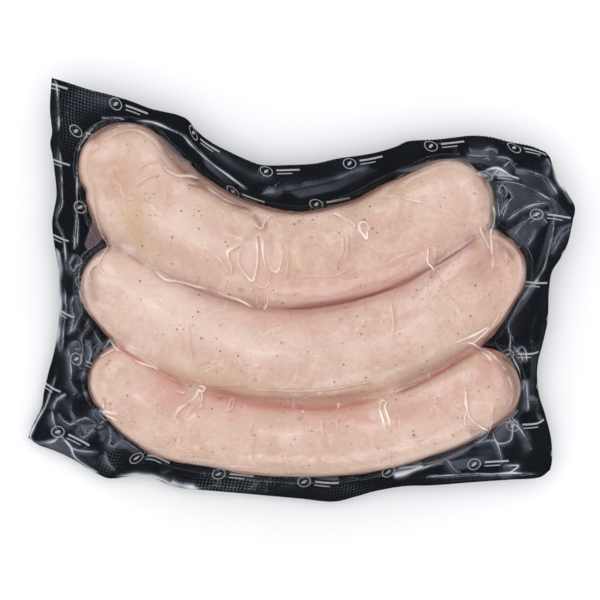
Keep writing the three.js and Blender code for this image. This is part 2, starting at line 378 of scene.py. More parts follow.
class Nodes:
    """A material's or a group's node tree, with short calls to add and join nodes."""

    def __init__(self, tree):
        self.tree = tree

    def add(self, kind, inputs=None, **settings):
        node = self.tree.nodes.new("ShaderNode" + kind)
        for key, value in settings.items():
            setattr(node, key, value)
        for key, value in (inputs or {}).items():
            if isinstance(value, bpy.types.NodeSocket):
                self.tree.links.new(value, node.inputs[key])
            else:
                node.inputs[key].default_value = value
        return node

    def math(self, operation, a, b=0.0, c=0.0):
        return self.add("Math", {0: a, 1: b, 2: c}, operation=operation).outputs[0]

    def mix(self, share, a, b):
        return self.add("Mix", {0: share, 6: a, 7: b}, data_type="RGBA").outputs[2]

    def ramp(self, value, low, high):
        ends = {0: value, 1: low, 2: high, 3: 0.0, 4: 1.0}
        return self.add("MapRange", ends, interpolation_type="SMOOTHSTEP").outputs[0]

    def read(self, name):
        return self.add("Attribute", attribute_name=name).outputs["Fac"]


def new_material(name):
    """An empty node material and its output node."""
    material = bpy.data.materials.new(name)
    material.use_nodes = True
    material.node_tree.nodes.clear()
    n = Nodes(material.node_tree)
    return material, n, n.add("OutputMaterial")


def new_group(name, inputs, outputs):
    """An empty node group with named sockets."""
    tree = bpy.data.node_groups.new(name, "ShaderNodeTree")
    kinds = {"value": "NodeSocketFloat", "vector": "NodeSocketVector"}
    for key, kind in inputs.items():
        tree.interface.new_socket(key, in_out="INPUT", socket_type=kinds[kind])
    for key, kind in outputs.items():
        tree.interface.new_socket(key, in_out="OUTPUT", socket_type=kinds[kind])
    n = Nodes(tree)
    return tree, n, tree.nodes.new("NodeGroupInput"), tree.nodes.new("NodeGroupOutput")


# What each mark on the skin turns the meat to, as name, share and colour; the rim, mauve, juice and tan marks are
# partly painted shade, the pale one partly a painted sheen
MARKS_ON_MEAT = [("pale", 0.6, (245, 228, 218)), ("rosy", 0.6, (222, 172, 158)), ("tan", 0.7, (208, 180, 150)),
                 ("yellow", 0.7, (222, 190, 138)), ("edge", 1.35, (146, 102, 84)), ("mauve_valley_shade", 1.0, (176, 124, 120)),
                 ("juice_and_valley_shade", 1.0, (214, 138, 124))]


def meat_material():
    """Pale pink ground in soft clouds, finer mottling of fat and lean, rosy, tan and pale patches, small brown and
    olive specks, soft grey-blue spots where pepper lies deeper, painted shade at the rims and in the valleys and a
    painted sheen on the crests; light enters the meat a few millimetres."""
    material, n, out = new_material("fresh_bratwurst")
    place = n.add("TexCoord").outputs["Object"]
    big = n.add("TexNoise", {"Vector": place, "Scale": 75.0, "Detail": 3.0, "Roughness": 0.55}).outputs["Fac"]
    tint = n.add("TexNoise", {"Vector": place, "Scale": 160.0, "Detail": 3.0, "Roughness": 0.6}).outputs["Fac"]
    fine = n.add("TexNoise", {"Vector": place, "Scale": 520.0, "Detail": 4.0, "Roughness": 0.7}).outputs["Fac"]
    ground = n.mix(n.ramp(big, 0.38, 0.62), colour(222, 190, 172), colour(232, 206, 190))
    ground = n.mix(n.math("MULTIPLY", n.ramp(tint, 0.52, 0.68), 0.5), ground, colour(224, 198, 170))
    ground = n.mix(n.math("MULTIPLY", n.ramp(tint, 0.46, 0.32), 0.5), ground, colour(222, 184, 172))
    ground = n.mix(n.math("MULTIPLY", n.ramp(fine, 0.50, 0.64), 0.32), ground, colour(243, 222, 210))
    ground = n.mix(n.math("MULTIPLY", n.ramp(fine, 0.48, 0.34), 0.34), ground, colour(206, 166, 148))
    for name, share, rgb in MARKS_ON_MEAT:
        ground = n.mix(n.math("MULTIPLY", n.read(name), share), ground, colour(*rgb))
    # Pepper that lies deeper: soft grey-blue spots
    deep = n.add("TexVoronoi", {"Vector": place, "Scale": 190.0, "Randomness": 1.0})
    part = n.add("SeparateColor", {0: deep.outputs["Color"]})
    kept = n.math("GREATER_THAN", part.outputs[0], 0.82)
    size = n.math("MULTIPLY_ADD", part.outputs[1], 0.22, 0.10)
    spot = n.math("MULTIPLY", n.ramp(n.math("DIVIDE", deep.outputs["Distance"], size), 1.0, 0.25), kept)
    tone = n.mix(part.outputs[2], colour(146, 144, 140), colour(158, 132, 112))
    ground = n.mix(n.math("MULTIPLY", spot, 0.42), ground, tone)
    # Specks at the skin: brown pepper and olive herbs
    speck = n.add("TexVoronoi", {"Vector": place, "Scale": 620.0, "Randomness": 1.0})
    part = n.add("SeparateColor", {0: speck.outputs["Color"]})
    kept = n.math("GREATER_THAN", part.outputs[0], n.math("MULTIPLY_ADD", n.ramp(big, 0.40, 0.62), 0.34, 0.44))
    size = n.math("MULTIPLY_ADD", n.math("POWER", part.outputs[1], 4.0), 0.24, 0.12)
    dot = n.math("MULTIPLY", n.ramp(n.math("DIVIDE", speck.outputs["Distance"], size), 1.0, 0.5), kept)
    tone = n.mix(part.outputs[2], colour(134, 76, 46), colour(104, 92, 60))
    dot = n.math("MULTIPLY", dot, n.math("MULTIPLY_ADD", part.outputs[1], 0.5, 0.38))
    ground = n.mix(dot, ground, tone)
    bump = n.add("Bump", {"Height": fine, "Strength": 0.3, "Distance": 0.0004})
    shade = n.add("BsdfPrincipled", {
        "Base Color": ground, "Roughness": 0.5, "Specular IOR Level": 0.2, "Normal": bump.outputs[0],
        "Subsurface Weight": 0.5, "Subsurface Radius": (1.0, 0.55, 0.42), "Subsurface Scale": 0.003})
    n.tree.links.new(shade.outputs[0], out.inputs["Surface"])
    return material


meat = meat_material()
for name, s in SAUSAGES.items():
    ring, poles, outward = sausage_surface(s, [other for key, other in SAUSAGES.items() if key != name])
    for key, other in SAUSAGES.items():
        if key != name:
            ring = press(s, other, ring, outward)
    piece = ring_mesh("meat_" + name, ring, poles)
    xyz = np.concatenate([ring.reshape(-1, 3), poles])
    middle = s["bottom"] + s["half_height"]
    level = (xyz[:, 2] - middle) / s["half_height"]
    near = np.minimum(*[reach(other, xyz[:, :2])[0] for key, other in SAUSAGES.items() if key != name])
    # The wet band: pink juice and painted shade in the valleys, most between the middle and the bottom sausage
    lower = 1.0 if name == "sausage_bottom" else 0.45 + 0.55 * soft(0, -0.004, xyz[:, 1] - (xyz[:, 0] ** 2) * 5 + 0.02)
    wet = soft(1.22, 1.0, near) * soft(0.85, 0.55, level)
    upper = soft(-0.2, 0.2, level)
    mark(piece, "mauve_valley_shade", np.clip(wet * (1 - lower) * 0.4 + strokes(xyz[:, :2], MAUVE_VALLEY_SHADE) * upper, 0, 0.95))
    mark(piece, "juice_and_valley_shade", np.clip(wet * lower * 0.34 + strokes(xyz[:, :2], JUICE_AND_VALLEY_SHADE) * upper, 0, 0.95))
    # Painted shade: brown at the rim that shows from above, paler again on the sides below it, and the brown strokes
    rim = 0.7 * soft(0.70, 0.42, level) * (0.4 + 0.6 * soft(-0.25, 0.2, level)) * soft(1.0, 1.25, near)
    mark(piece, "edge", np.clip(rim + strokes(xyz[:, :2], BROWN_AND_SHADE) * upper, 0, 1))
    mark(piece, "yellow", strokes(xyz[:, :2], YELLOW) * upper)
    # Pale fat and a painted sheen, only towards the crests
    mark(piece, "pale", np.clip(patches(xyz[:, :2], PALE_FAT_AND_SHEEN), 0, 1) * soft(0.1, 0.6, level))
    mark(piece, "rosy", np.clip(patches(xyz[:, :2], ROSY), 0, 1))
    # Tan, partly painted shade along the rims
    mark(piece, "tan", np.clip(patches(xyz[:, :2], TAN_AND_RIM_SHADE), 0, 1))
    piece.data.materials.append(meat)
    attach(piece, "root")
    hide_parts(name)


# The lie of the films: both are cut together, so they share one outline and one flange, sealed around the
# sausages. The vacuum pulls the clear film down over the meat, steep at its sides, and pushes the black film up
# from below. The four cut edges are traced on the plan, each from one corner to the next.
TOP = [[52, 78], [70, 83.5], [90, 90], [110, 95], [130, 101], [150, 108.5], [165, 112], [178, 115], [188, 120],
       [197, 131], [211, 142], [230, 152], [250, 161], [264, 165], [288, 165], [315, 163.5], [338, 158.5], [363, 155],
       [380, 151.5], [396, 146.5], [409, 141], [434, 139.5], [453, 137.5], [472, 135.5], [491, 137], [510, 142],
       [530, 146], [545, 152]]
RIGHT = [[545, 152], [550, 158], [554, 170], [561, 183], [568, 194], [575, 207], [573, 221], [568, 243], [560, 259],
         [552, 272], [549, 291], [548, 320], [543, 345], [539, 361], [538, 376], [540, 395], [546, 414], [551, 433],
         [553, 447], [553, 462], [551, 471]]
BOTTOM = [[26, 439], [36, 446], [50, 451], [64, 457], [77, 464], [87, 470], [106, 479.5], [125, 478], [144, 476],
          [157, 481], [169, 486.5], [186, 490], [211, 492], [250, 495.5], [300, 500], [333, 503], [357, 497.5],
          [376, 492], [405, 487], [434, 486], [472, 483], [510, 480.5], [539, 478.5], [551, 471]]
LEFT = [[52, 78], [51, 90], [50, 110], [52, 131], [50, 143], [52, 155], [54, 170], [56, 194], [53, 212], [51.5, 224],
        [53.5, 243], [57, 262], [58.5, 281], [58.5, 309], [56.5, 332], [52, 355], [47, 372], [42, 393], [39.5, 408],
        [31, 425], [26, 439]]
NU, NV = 640, 480  # cells of the film along and across
# Heights of the flange at its corners and of its waves, in millimetres
FLANGE = dict(left_bottom=5.6, right_bottom=8.6, left_top=12.6, right_top=12.6, wave=1.3)


def even(points, n):
    """n + 1 points at even lengths along the smooth curve through points."""
    dense = smooth(points, np.linspace(0, 1, 2400))
    run = np.concatenate([[0], np.cumsum(np.linalg.norm(np.diff(dense, axis=0), axis=1))])
    at = np.linspace(0, run[-1], n + 1)
    return np.stack([np.interp(at, run, dense[:, 0]), np.interp(at, run, dense[:, 1])], -1)


def patch_plan(top, right, bottom, left, nu, nv):
    """Four edges blended into a grid: top to bottom plus left to right less the corners' blend."""
    t, b, l, r = even(top, nu), even(bottom, nu), even(left, nv), even(right, nv)
    u = np.linspace(0, 1, nu + 1)[None, :, None]
    v = np.linspace(0, 1, nv + 1)[:, None, None]
    corners = (1 - v) * ((1 - u) * t[0] + u * t[-1]) + v * ((1 - u) * b[0] + u * b[-1])
    return on_plan((1 - v) * t[None] + v * b[None] + (1 - u) * l[:, None] + u * r[:, None] - corners)


def flange_height(u, v):
    """Corner heights blended, plus slow waves, in metres."""
    f = FLANGE
    upper = (1 - u) * f["left_top"] + u * f["right_top"]
    lower = (1 - u) * f["left_bottom"] + u * f["right_bottom"]
    tilt = (1 - v) * upper + v * lower
    return (tilt + f["wave"] * (0.6 * np.sin(13 * u + 4 * v) + 0.5 * np.sin(11 * v - 5 * u + 1.5))) * 1e-3


def hump(s, found, others, xy, room):
    """Top of a sausage under the film, with its lumps, or 0 outside, and the reach."""
    z = top_of(s, found, room)
    at = np.concatenate([xy, z[..., None]], -1)
    calm = soft(*CALM, np.minimum(*[other[0] for other in others]))
    bumpy = z + calm * (LUMP_SIZE * wobble(at, LUMPS) + PUCKER_SIZE * wobble(at, PUCKERS))
    return np.where(z > 0, bumpy, 0), found[0]


def relax(z, floor, pull, steps):
    """The film under tension: each point goes to the mean of its four neighbours, less the pull of the
    vacuum, but never below what it lies on."""
    for _ in range(steps):
        mean = (z[:-2, 1:-1] + z[2:, 1:-1] + z[1:-1, :-2] + z[1:-1, 2:]) / 4
        z[1:-1, 1:-1] = np.maximum(floor[1:-1, 1:-1], mean - pull[1:-1, 1:-1])
    return z


cover_xy = patch_plan(TOP, RIGHT, BOTTOM, LEFT, NU, NV)
# The upper cut edge is serrated in two stretches, as first and last x on the plan and size in metres
TEETH = [(395, 545, 0.0005), (225, 335, 0.0002)]
TOOTH_STEP = 0.0014
for first, last, size in TEETH:
    x = cover_xy[0, :, 0] / PLAN + PLAN_MIDDLE[0]
    run = np.concatenate([[0], np.cumsum(np.linalg.norm(np.diff(cover_xy[0], axis=0), axis=1))])
    here = soft(first, first + 10, x) * soft(last, last - 10, x)
    tooth = size * (np.abs(np.mod(run / TOOTH_STEP, 1) * 2 - 1) - 0.5) * here
    cover_xy[0, :, 1] += tooth
    cover_xy[1, :, 1] += tooth / 2
cover_u, cover_v = np.meshgrid(np.linspace(0, 1, NU + 1), np.linspace(0, 1, NV + 1))
flange = flange_height(cover_u, cover_v)
FILM_ROOM = 0.00022  # from the skin of the meat to the film
FILL_ABOVE = 0.012  # valleys lower than this stay open
found = [reach(s, cover_xy) for s in SAUSAGES.values()]
humps = [hump(s, found[k], found[:k] + found[k + 1:], cover_xy, FILM_ROOM) for k, s in enumerate(SAUSAGES.values())]
under = humps[0][0]
for h, _ in humps[1:]:
    fill = FILL / 4 * np.clip(1 - np.abs(under - h) / FILL, 0, 1) ** 2 * (np.minimum(under, h) > FILL_ABOVE)
    under = np.maximum(under, h) + fill
under = np.maximum(under, flange)
CELL = 0.00032  # mean side of a cell of the film
SETTLING = 480  # steps of the relaxation
# Vacuum pull as curvature, one over metres: on the outer walls, and tighter in the valleys between sausages
PULL_OUTSIDE, PULL_VALLEY = 1400, 2000
between = np.sort(np.stack([h[1] for h in humps]), 0)[1]
curvature = PULL_OUTSIDE + (PULL_VALLEY - PULL_OUTSIDE) * soft(1.5, 1.15, between)
cover_z = relax(under.copy(), under, curvature * CELL**2 / 4, SETTLING)


# Folds of the films: shrinking around the meat left the flat film with too much length, so it gathered in thin
# sharp folds and in flat panes and crumples between them. The folds' white is a painted highlight, partly the white of
# doubled film, and the sheens, gleams and panes are painted reflections.

# Each fold is a line of [x, y] points on the plan. A group shares its height and half width in millimetres, how
# white it turns, how brown the meat shows in its shade, and how broken it is, 0 to 1.
FOLDS = {
    "flange around the hollow side": (0.8, 0.4, 0.95, 0, 0, [
        [[127, 122], [150, 122], [171, 130], [183, 136], [192, 146], [211, 163], [230, 177], [250, 192]]]),
    "soft fold above the hollow": (0.7, 1.8, 0.05, 0, 0, [
        [[258, 195], [288, 191], [312, 186], [336, 181], [356, 173], [376, 167]],
        [[200, 140], [225, 160], [250, 175], [280, 180]]]),
    "folded edges at the bottom": (0.6, 0.36, 0.95, 0, 0.1, [
        [[54.5, 372], [54, 378], [49, 392], [44, 406], [36, 420], [30, 432], [28.5, 439], [33, 443], [42, 444.5],
         [52, 442], [60, 437], [63, 439]], [[60, 437], [69, 448], [73, 458], [86, 468], [100, 476]],
        [[420, 478], [434, 476.4], [448.6, 475.7], [460, 475], [477, 474], [488.6, 474.7], [501.4, 473.9],
         [511.4, 473.3], [520, 473.6], [534, 474.3], [539, 478]],
        [[420, 469], [428.6, 466.4], [437, 463.6], [444, 462]]]),
    "edge of the seal beside the sausages": (0.7, 0.27, 0.75, 0, 0.1, [
        [[104, 121], [93, 129], [83, 142], [79, 152], [77, 184], [77, 213], [78, 222], [77, 238.6], [76.6, 256]],
        [[101, 119], [116, 118], [127, 121]], [[76, 200], [76, 220], [74.4, 238.6], [74.4, 254]],
        [[55.5, 79], [57.5, 90], [59, 112], [59, 133]],
        [[58, 144], [61, 163], [62, 194], [62, 205], [57.5, 215], [57, 224], [62, 233.6], [64.4, 245.7], [67, 278]],
        [[65, 288], [65, 303], [65.9, 306.4], [63, 328.6], [61.6, 350]],
        [[553, 202], [556, 210], [554, 220], [552, 237], [548, 253], [542, 272], [527.5, 290], [520, 301],
         [514, 312.5], [509, 322.5], [508.5, 330], [510.6, 335], [513.8, 341], [514.4, 345], [512, 351]],
        [[509, 330], [510.6, 340], [510, 350], [512, 356], [515, 362.5], [519, 372], [519.4, 384]]]),
    "folds in the black on the left": (0.9, 0.26, 0.72, 0, 0.1, [
        [[74.4, 255.7], [70, 263], [71, 268.6], [73.7, 270.7], [76.6, 265.7], [81.6, 263], [80, 258.6], [76.6, 255.7],
         [74.4, 255.7]], [[79.7, 266], [79.4, 277], [81, 292]],
        [[74.4, 294], [71.6, 301.4], [72.3, 313], [73.7, 317], [68.7, 336]],
        [[74.4, 294], [81.6, 291.4], [83, 300], [81.6, 311.4], [76.6, 323], [69.4, 334.3]],
        [[93.7, 323], [85, 331.4], [81, 338.6], [82, 350], [78, 370]], [[93.7, 331.4], [97.3, 338.6], [103, 347]],
        [[82, 343], [90, 349], [89, 360], [84, 370], [80, 381]],
        [[69, 346], [74, 342.5], [78, 343], [80, 349], [74, 350]], [[67, 345], [70, 370], [70, 384], [79, 395]],
        [[51, 410], [56, 400], [66, 394]],
        [[55, 412], [61, 420], [68, 425], [74, 423], [80, 420], [86, 419.4], [92, 422], [98, 428]],
        [[50, 408], [52, 422], [58, 434], [69, 448], [80, 452], [102, 453]],
        [[77, 424], [78, 433], [81, 438], [87, 435], [95, 427]],
        [[92, 411], [93, 416], [99, 423], [103, 421], [102, 414], [97, 410], [92, 411]],
        [[108, 423], [110, 438], [108, 445], [114, 447], [122, 439], [120, 432], [117, 427]],
        [[110, 450], [122, 441], [132, 446], [141, 453]], [[104, 452], [106, 462], [114, 472]]]),
    "folds in the black at the top right": (1.1, 0.30, 0.62, 0, 0.1, [
        [[466, 155], [480, 156], [490, 155]], [[484, 152], [490, 149], [495, 151], [497, 155]],
        [[494, 157], [503, 157.5], [510, 160], [512, 165], [518, 163]], [[504, 167], [508, 163], [510, 161]],
        [[499, 168], [492, 178]], [[530, 172], [537, 174], [545, 178], [553, 188], [558, 196]],
        [[493, 183], [510, 182], [527, 187], [542, 195], [555, 203]],
        [[502, 184], [499, 190], [501, 194], [506, 196], [506, 189], [502, 184]],
        [[506, 187], [512, 197], [508, 203], [501, 222]], [[508, 202], [502, 210], [502, 216]],
        [[497, 196], [497.5, 205], [500, 219]], [[505, 222], [520, 211], [533, 205], [552, 202]],
        [[511, 239], [522, 225], [535, 215], [548, 212], [558, 209]], [[528, 224], [540, 217], [548, 224]],
        [[526, 247], [533, 237], [535, 228]]]),
    "folds in the black on the right": (1.0, 0.26, 0.72, 0, 0.1, [
        [[551, 250], [558, 237], [565, 228], [574, 224]], [[551, 255], [557, 245], [563, 235], [573, 226]],
        [[540, 277], [531, 289], [525, 296], [520, 304]],
        [[514, 352], [519, 349], [522, 347], [525, 350], [526.5, 356], [527, 363]],
        [[516, 351], [521, 355], [523, 362]], [[526, 379], [527.5, 389], [528, 398], [529, 412]],
        [[526, 379], [522, 390]],
        [[517, 403], [511, 413.6], [508.6, 418.6], [514, 423.6], [520, 429], [525.7, 438], [530, 448], [535, 451]],
        [[519, 409], [512, 417], [520, 424]],
        [[493.6, 432], [502, 422], [511.4, 424], [513, 429], [510.7, 440.7], [498.6, 443.6], [493.6, 435],
         [493.6, 432]], [[474, 445], [484, 441.4], [493.6, 440.4], [498, 445], [501.4, 456.4], [503.6, 468]],
        [[503, 463], [505.7, 465.7], [513, 465.7], [519, 466.4], [510, 473], [500, 474]],
        [[446, 458], [454, 469], [462, 474]], [[546, 158], [549, 166], [547, 176]]]),
    "soft sheens on the black": (0.0, 3.0, 0.035, 0, 0, [
        [[62, 441], [80, 455], [98, 468]], [[36, 444], [50, 447], [64, 455]], [[70, 95], [100, 100], [125, 105]],
        [[195, 170], [215, 190], [240, 202], [262, 208]], [[505, 190], [520, 215], [540, 240]],
        [[500, 200], [510, 230]], [[515, 170], [545, 188], [562, 206]], [[465, 150], [500, 150]],
        [[515, 300], [510, 320], [512, 340]], [[455, 455], [480, 452], [500, 455]], [[80, 345], [88, 370]],
        [[62, 400], [72, 418]], [[75, 295], [70, 325]]]),
    "narrow sheens on the black": (0.0, 1.5, 0.10, 0, 0, [
        [[286, 191], [320, 183], [350, 173], [374, 166]], [[262, 194], [285, 192]], [[494, 428], [505, 438]],
        [[527, 205], [548, 214]], [[512, 236], [524, 226], [536, 219]], [[96, 436], [104, 432], [100, 444]],
        [[120, 440], [130, 448]], [[82, 350], [86, 362]]]),
    "clear edge beyond the black": (0.0, 0.9, 0.8, 0, 0, [
        [[106, 478], [125, 476.6], [145, 475.6], [160, 480.4], [175, 487], [205, 490.5]],
        [[168, 482.5], [180, 486], [196, 488.5]], [[57.5, 255], [59, 280], [59.5, 305], [58, 330], [54.5, 350]],
        [[550, 160], [557, 178], [568, 196]], [[392, 477], [408, 473], [426, 466]]]),
    "fine folds on the top sausage": (0.34, 0.5, 0.62, 0.7, 0.1, [
        [[233, 214], [246, 213], [250, 217], [256, 226], [262, 230], [266, 222], [270, 218], [274, 217], [278, 224],
         [283, 232], [288, 233]],
        [[212, 249], [224, 264], [231, 274], [233, 268], [229, 256], [233, 250], [249, 243]],
        [[249, 243], [242, 252], [240, 264], [247, 276], [253, 281], [256, 275], [258, 262], [258, 248], [257, 239],
         [260, 236], [263, 242], [264, 258], [268, 272], [270, 279]],
        [[281, 247], [282, 258], [279, 270], [274, 272], [270, 266], [267, 255]],
        [[330, 213], [342, 219], [352, 225], [354, 232]],
        [[475, 222], [479, 235], [485, 247], [489, 255], [488, 275]],
        [[159, 155], [163, 163], [168, 171], [173, 175], [181, 178], [192, 178], [205, 182]]]),
    "bright folds on the top sausage": (0.38, 0.46, 1.0, 0.6, 0, [
        [[358, 227], [360, 224], [364, 224], [367, 228], [366, 234], [365, 240], [362, 236], [359, 232], [358, 227]],
        [[425.5, 247], [425.5, 262], [430, 268], [432, 273], [429, 271]],
        [[489, 203], [493, 215], [492, 226], [488, 234], [488, 250], [488, 262]],
        [[471, 176], [485, 171], [497, 168], [510, 175], [522, 181]],
        [[101, 231], [105, 238], [109.4, 247], [103.7, 260], [102.3, 265.7], [105, 271.4], [113, 279]],
        [[103.7, 261.4], [93.7, 270], [93, 275.7], [96, 285]]]),
    "faint folds on the top sausage": (0.2, 0.45, 0.32, 0.5, 0, [
        [[342, 235], [342, 250], [337, 262], [334, 272]], [[347, 235], [346, 252], [343, 262]],
        [[368, 245], [374, 252], [381, 260]], [[434, 240], [433, 255], [432, 265]],
        [[112, 168], [118, 178], [124, 187], [127, 196], [132, 201], [141, 200]],
        [[96, 196], [99, 215], [102, 230], [110, 247]], [[497, 168], [490, 178], [488, 183]],
        [[385, 196], [395, 185], [405, 178], [420, 171], [435, 166], [446, 165], [455, 168]],
        [[376.5, 199.5], [392, 197.5], [407, 201.5], [424.5, 206]], [[253, 282], [262, 288], [269, 283], [270, 272]],
        [[97, 160], [104, 149], [112, 140], [131, 133], [146, 136], [158, 148], [166, 160]],
        [[187, 186], [204, 187], [215, 194], [232, 204], [255, 210]], [[144, 200], [153, 205], [162, 212]],
        [[167, 192], [168, 202], [172, 208]], [[455, 161], [466, 164], [472, 172], [475, 180]],
        [[140, 172], [150, 166], [163, 164]], [[137, 190], [150, 180], [165, 176]],
        [[286, 240], [288, 262], [286, 282]], [[300, 275], [330, 276], [350, 270]],
        [[380, 266], [400, 256], [420, 250]]]),
    "double line in the upper valley": (0.35, 0.55, 0.72, 0.5, 0.1, [
        [[143, 264], [148, 268], [154, 269], [160, 274], [168, 280], [180, 282], [195, 286], [212, 290], [228, 296],
         [242, 301], [256, 309], [262, 313]], [[264, 311], [268, 303], [267, 296]]]),
    "sparkling crumples": (0.25, 1.0, 0.55, 0.2, 0.95, [
        [[474, 236], [465, 243], [452, 252], [440, 260], [430, 267]], [[118, 130], [128, 129], [140, 128]],
        [[395, 172], [410, 169], [425, 166]]]),
    "white crumples at the lower right": (0.25, 0.8, 0.9, 0.2, 0.6, [
        [[474, 346], [481, 349], [487, 352], [493, 358], [500, 367], [503, 372]],
        [[478, 350], [484, 355], [489, 361]]]),
    # Painted shade: dark lines along the valleys, tinting the film brown
    "dark lines in the valleys": (0, 0.55, 0, 0.85, 0, [
        [[262, 303], [275, 305], [290, 307], [310, 306.5], [330, 303], [350, 299], [370, 293.5], [390, 285],
         [410, 275.5], [430, 265], [450, 254], [470, 241.5], [477, 236]],
        [[116, 340], [129, 350], [149, 362], [169, 372], [183, 381], [191, 386]],
        [[390, 391], [399, 387], [409, 382], [419, 377], [439, 367.5], [449, 362], [459, 356.5], [469, 351.5],
         [478, 347]]]),
    # Painted shade: softer lines along the valleys
    "soft lines in the valleys": (0, 0.8, 0, 0.25, 0, [
        [[120, 246], [139, 258.5], [149, 265.5], [169, 274], [189, 280], [209, 286], [229, 296], [244, 301],
         [262, 303]], [[199, 387.5], [229, 391], [259, 399], [299, 404], [339, 402], [379, 395], [390, 391]]]),
    "pale gleams on the meat": (0.05, 1.3, 0.36, 0, 0, [
        [[142, 203], [152, 206], [160, 213], [168, 219]], [[222, 232], [235, 238], [247, 240]],
        [[292, 245], [296, 256], [299, 268]], [[325, 430], [329, 434], [330, 444]],
        [[396, 410], [397, 417], [396, 424]], [[186, 418], [192, 416], [199, 411]],
        [[343, 423], [350, 420], [356, 417]]]),
    "broad gleams on the meat": (0.0, 2.6, 0.30, 0, 0, [
        [[148, 212], [165, 224], [185, 236], [203, 246], [215, 256]],
        [[104, 276], [128, 288], [152, 303], [180, 318], [205, 328]],
        [[205, 332], [240, 346], [270, 352], [310, 352]], [[120, 378], [140, 395], [160, 408]],
        [[330, 420], [370, 424], [400, 416]], [[293, 235], [298, 255], [298, 275]],
        [[250, 425], [280, 432], [310, 430]], [[360, 345], [400, 330], [430, 310]],
        [[455, 190], [465, 182], [470, 176]]]),
    "fine folds on the lower sausages": (0.32, 0.48, 0.72, 0.7, 0.1, [
        [[103, 352], [107, 345], [111, 340], [115, 344], [119, 348], [126, 352]],
        [[102, 357], [110, 352], [118, 348]], [[130, 352], [140, 360], [150, 364], [158, 367], [161, 372]],
        [[178, 388], [184, 391], [188, 390]],
        [[197, 388], [201, 385], [206, 386], [204, 390], [200, 389], [198, 394], [190, 401], [182, 407], [178, 415],
         [181, 421], [187, 429]], [[203, 389], [204, 397], [203, 407]], [[216, 393], [221, 395], [225, 393]],
        [[230, 408], [231, 400], [234, 397], [235, 402], [232, 407], [230, 408]],
        [[103, 409], [116, 410], [127, 413], [138, 420]], [[104, 412], [116, 417], [128, 421]],
        [[106, 408], [106.5, 400], [105, 393]], [[450, 343], [462, 338], [474, 333], [487, 325]],
        [[466, 345], [476, 338], [488, 326]],
        [[463, 382], [462, 398], [464, 409], [467, 416.4], [476, 423.6], [486, 429.5]],
        [[463, 408], [461, 418], [463, 425]], [[489, 402], [488.5, 412], [488.5, 420]]]),
    "bright folds on the lower sausages": (0.35, 0.40, 1.0, 0.6, 0, [
        [[380, 398], [378, 406], [381, 417], [384, 427], [388, 429], [387, 418], [383, 405], [385, 400], [380, 398]],
        [[302, 408], [304, 411]], [[338, 401], [338, 407]], [[100, 408], [104, 410], [108, 411]],
        [[462, 342], [470, 343], [476, 347], [484, 350], [490, 354]],
        [[489, 412], [488, 423.6], [486.4, 436.4], [483, 439], [472, 446]], [[472, 421], [480, 426], [488, 430]],
        [[100, 409], [104, 410], [112, 411], [124, 413]], [[100, 409], [110, 414], [122, 418]]]),
    "faint folds on the lower sausages": (0.2, 0.45, 0.32, 0.5, 0, [
        [[186, 419], [190, 412], [196, 402]],
        [[253, 418], [252, 428], [256, 434], [253, 445], [256, 455], [261, 462]],
        [[200, 375], [204, 380], [215, 384], [235, 384], [260, 388], [285, 389], [310, 389], [340, 386], [360, 382],
         [373, 381], [382, 388], [388, 393]], [[245, 361], [251, 362]], [[255, 363], [262, 365]],
        [[322, 413], [323, 430], [325, 440], [328, 447]], [[326, 425], [327, 437], [330, 443]],
        [[432, 394], [434, 399], [431, 401]], [[395, 410], [393, 418], [394, 426]],
        [[502, 372], [507, 382], [508, 395], [503, 408]],
        [[390, 427], [398, 436], [412, 437], [424, 434], [432, 428]],
        [[130, 449], [170, 456], [215, 462], [270, 465]], [[140, 442], [180, 450], [230, 456]],
        [[340, 450], [352, 456], [362, 460]], [[190, 318], [192, 340], [196, 362]],
        [[388, 300], [392, 320], [390, 340]], [[160, 290], [163, 300], [168, 306]],
        [[390, 392], [400, 388], [410, 384], [418, 381]], [[500, 300], [495, 315], [487, 330]],
        [[440, 290], [452, 300], [460, 312]]]),
}


def wrinkles(seed, count):
    """Short bent lines strewn over the sausages: on a middle line at a random share, aside by up to 0.88 of the
    half width, turned from the line by a normal angle."""
    draw = np.random.default_rng(seed)
    lines = []
    for s in SAUSAGES.values():
        for _ in range(count):
            share = draw.random()
            here, ahead = smooth(s["line"], np.array([share, share + 0.01 if share < 0.9 else share - 0.01]))
            turn = np.arctan2(ahead[1] - here[1], ahead[0] - here[0])
            aside = draw.uniform(-0.88, 0.88) * here[2]
            middle = here[:2] + aside * np.array([-np.sin(turn), np.cos(turn)])
            turn += draw.normal() * 0.8
            way = np.array([np.cos(turn), np.sin(turn)])
            long = draw.uniform(4, 13)
            bend = draw.normal() * 0.14 * long * np.array([-way[1], way[0]])
            lines.append([(middle - way * long).tolist(), (middle + bend).tolist(), (middle + way * long).tolist()])
    return lines


FOLDS["fine wrinkles of the film"] = (0.10, 0.26, 0.26, 0.2, 0.2, wrinkles(47, 34))
FOLDS["faint wrinkles of the film"] = (0.05, 0.40, 0.12, 0.1, 0, wrinkles(53, 26))

# Pockets where the film stands off the meat between folds, as [x, y, width, height, turn, share of PUFF_HEIGHT]
PUFF_HEIGHT = 0.0006
PUFFS = [[240, 262, 9, 10, 20, 0.8], [262, 268, 7, 16, 0, 1.0], [280, 258, 6, 12, 10, 0.7],
         [352, 242, 7, 12, 20, 0.5], [264, 222, 6, 8, 0, 0.6], [108, 258, 9, 9, 0, 0.7], [386, 412, 5, 13, 0, 0.6],
         [474, 408, 9, 17, 15, 0.9], [472, 338, 12, 5, 20, 0.7], [493, 362, 8, 6, -50, 0.7],
         [115, 416, 12, 5, -10, 0.5], [192, 396, 9, 7, 30, 0.4], [110, 350, 8, 6, 20, 0.5], [400, 390, 12, 4, 15, 0.5]]
RIPPLES = waves(19, 30, 0.011, 0.0045)
RIPPLE_SIZE = 0.00006
DRIFT = waves(23, 10, 0.03, 0.012)


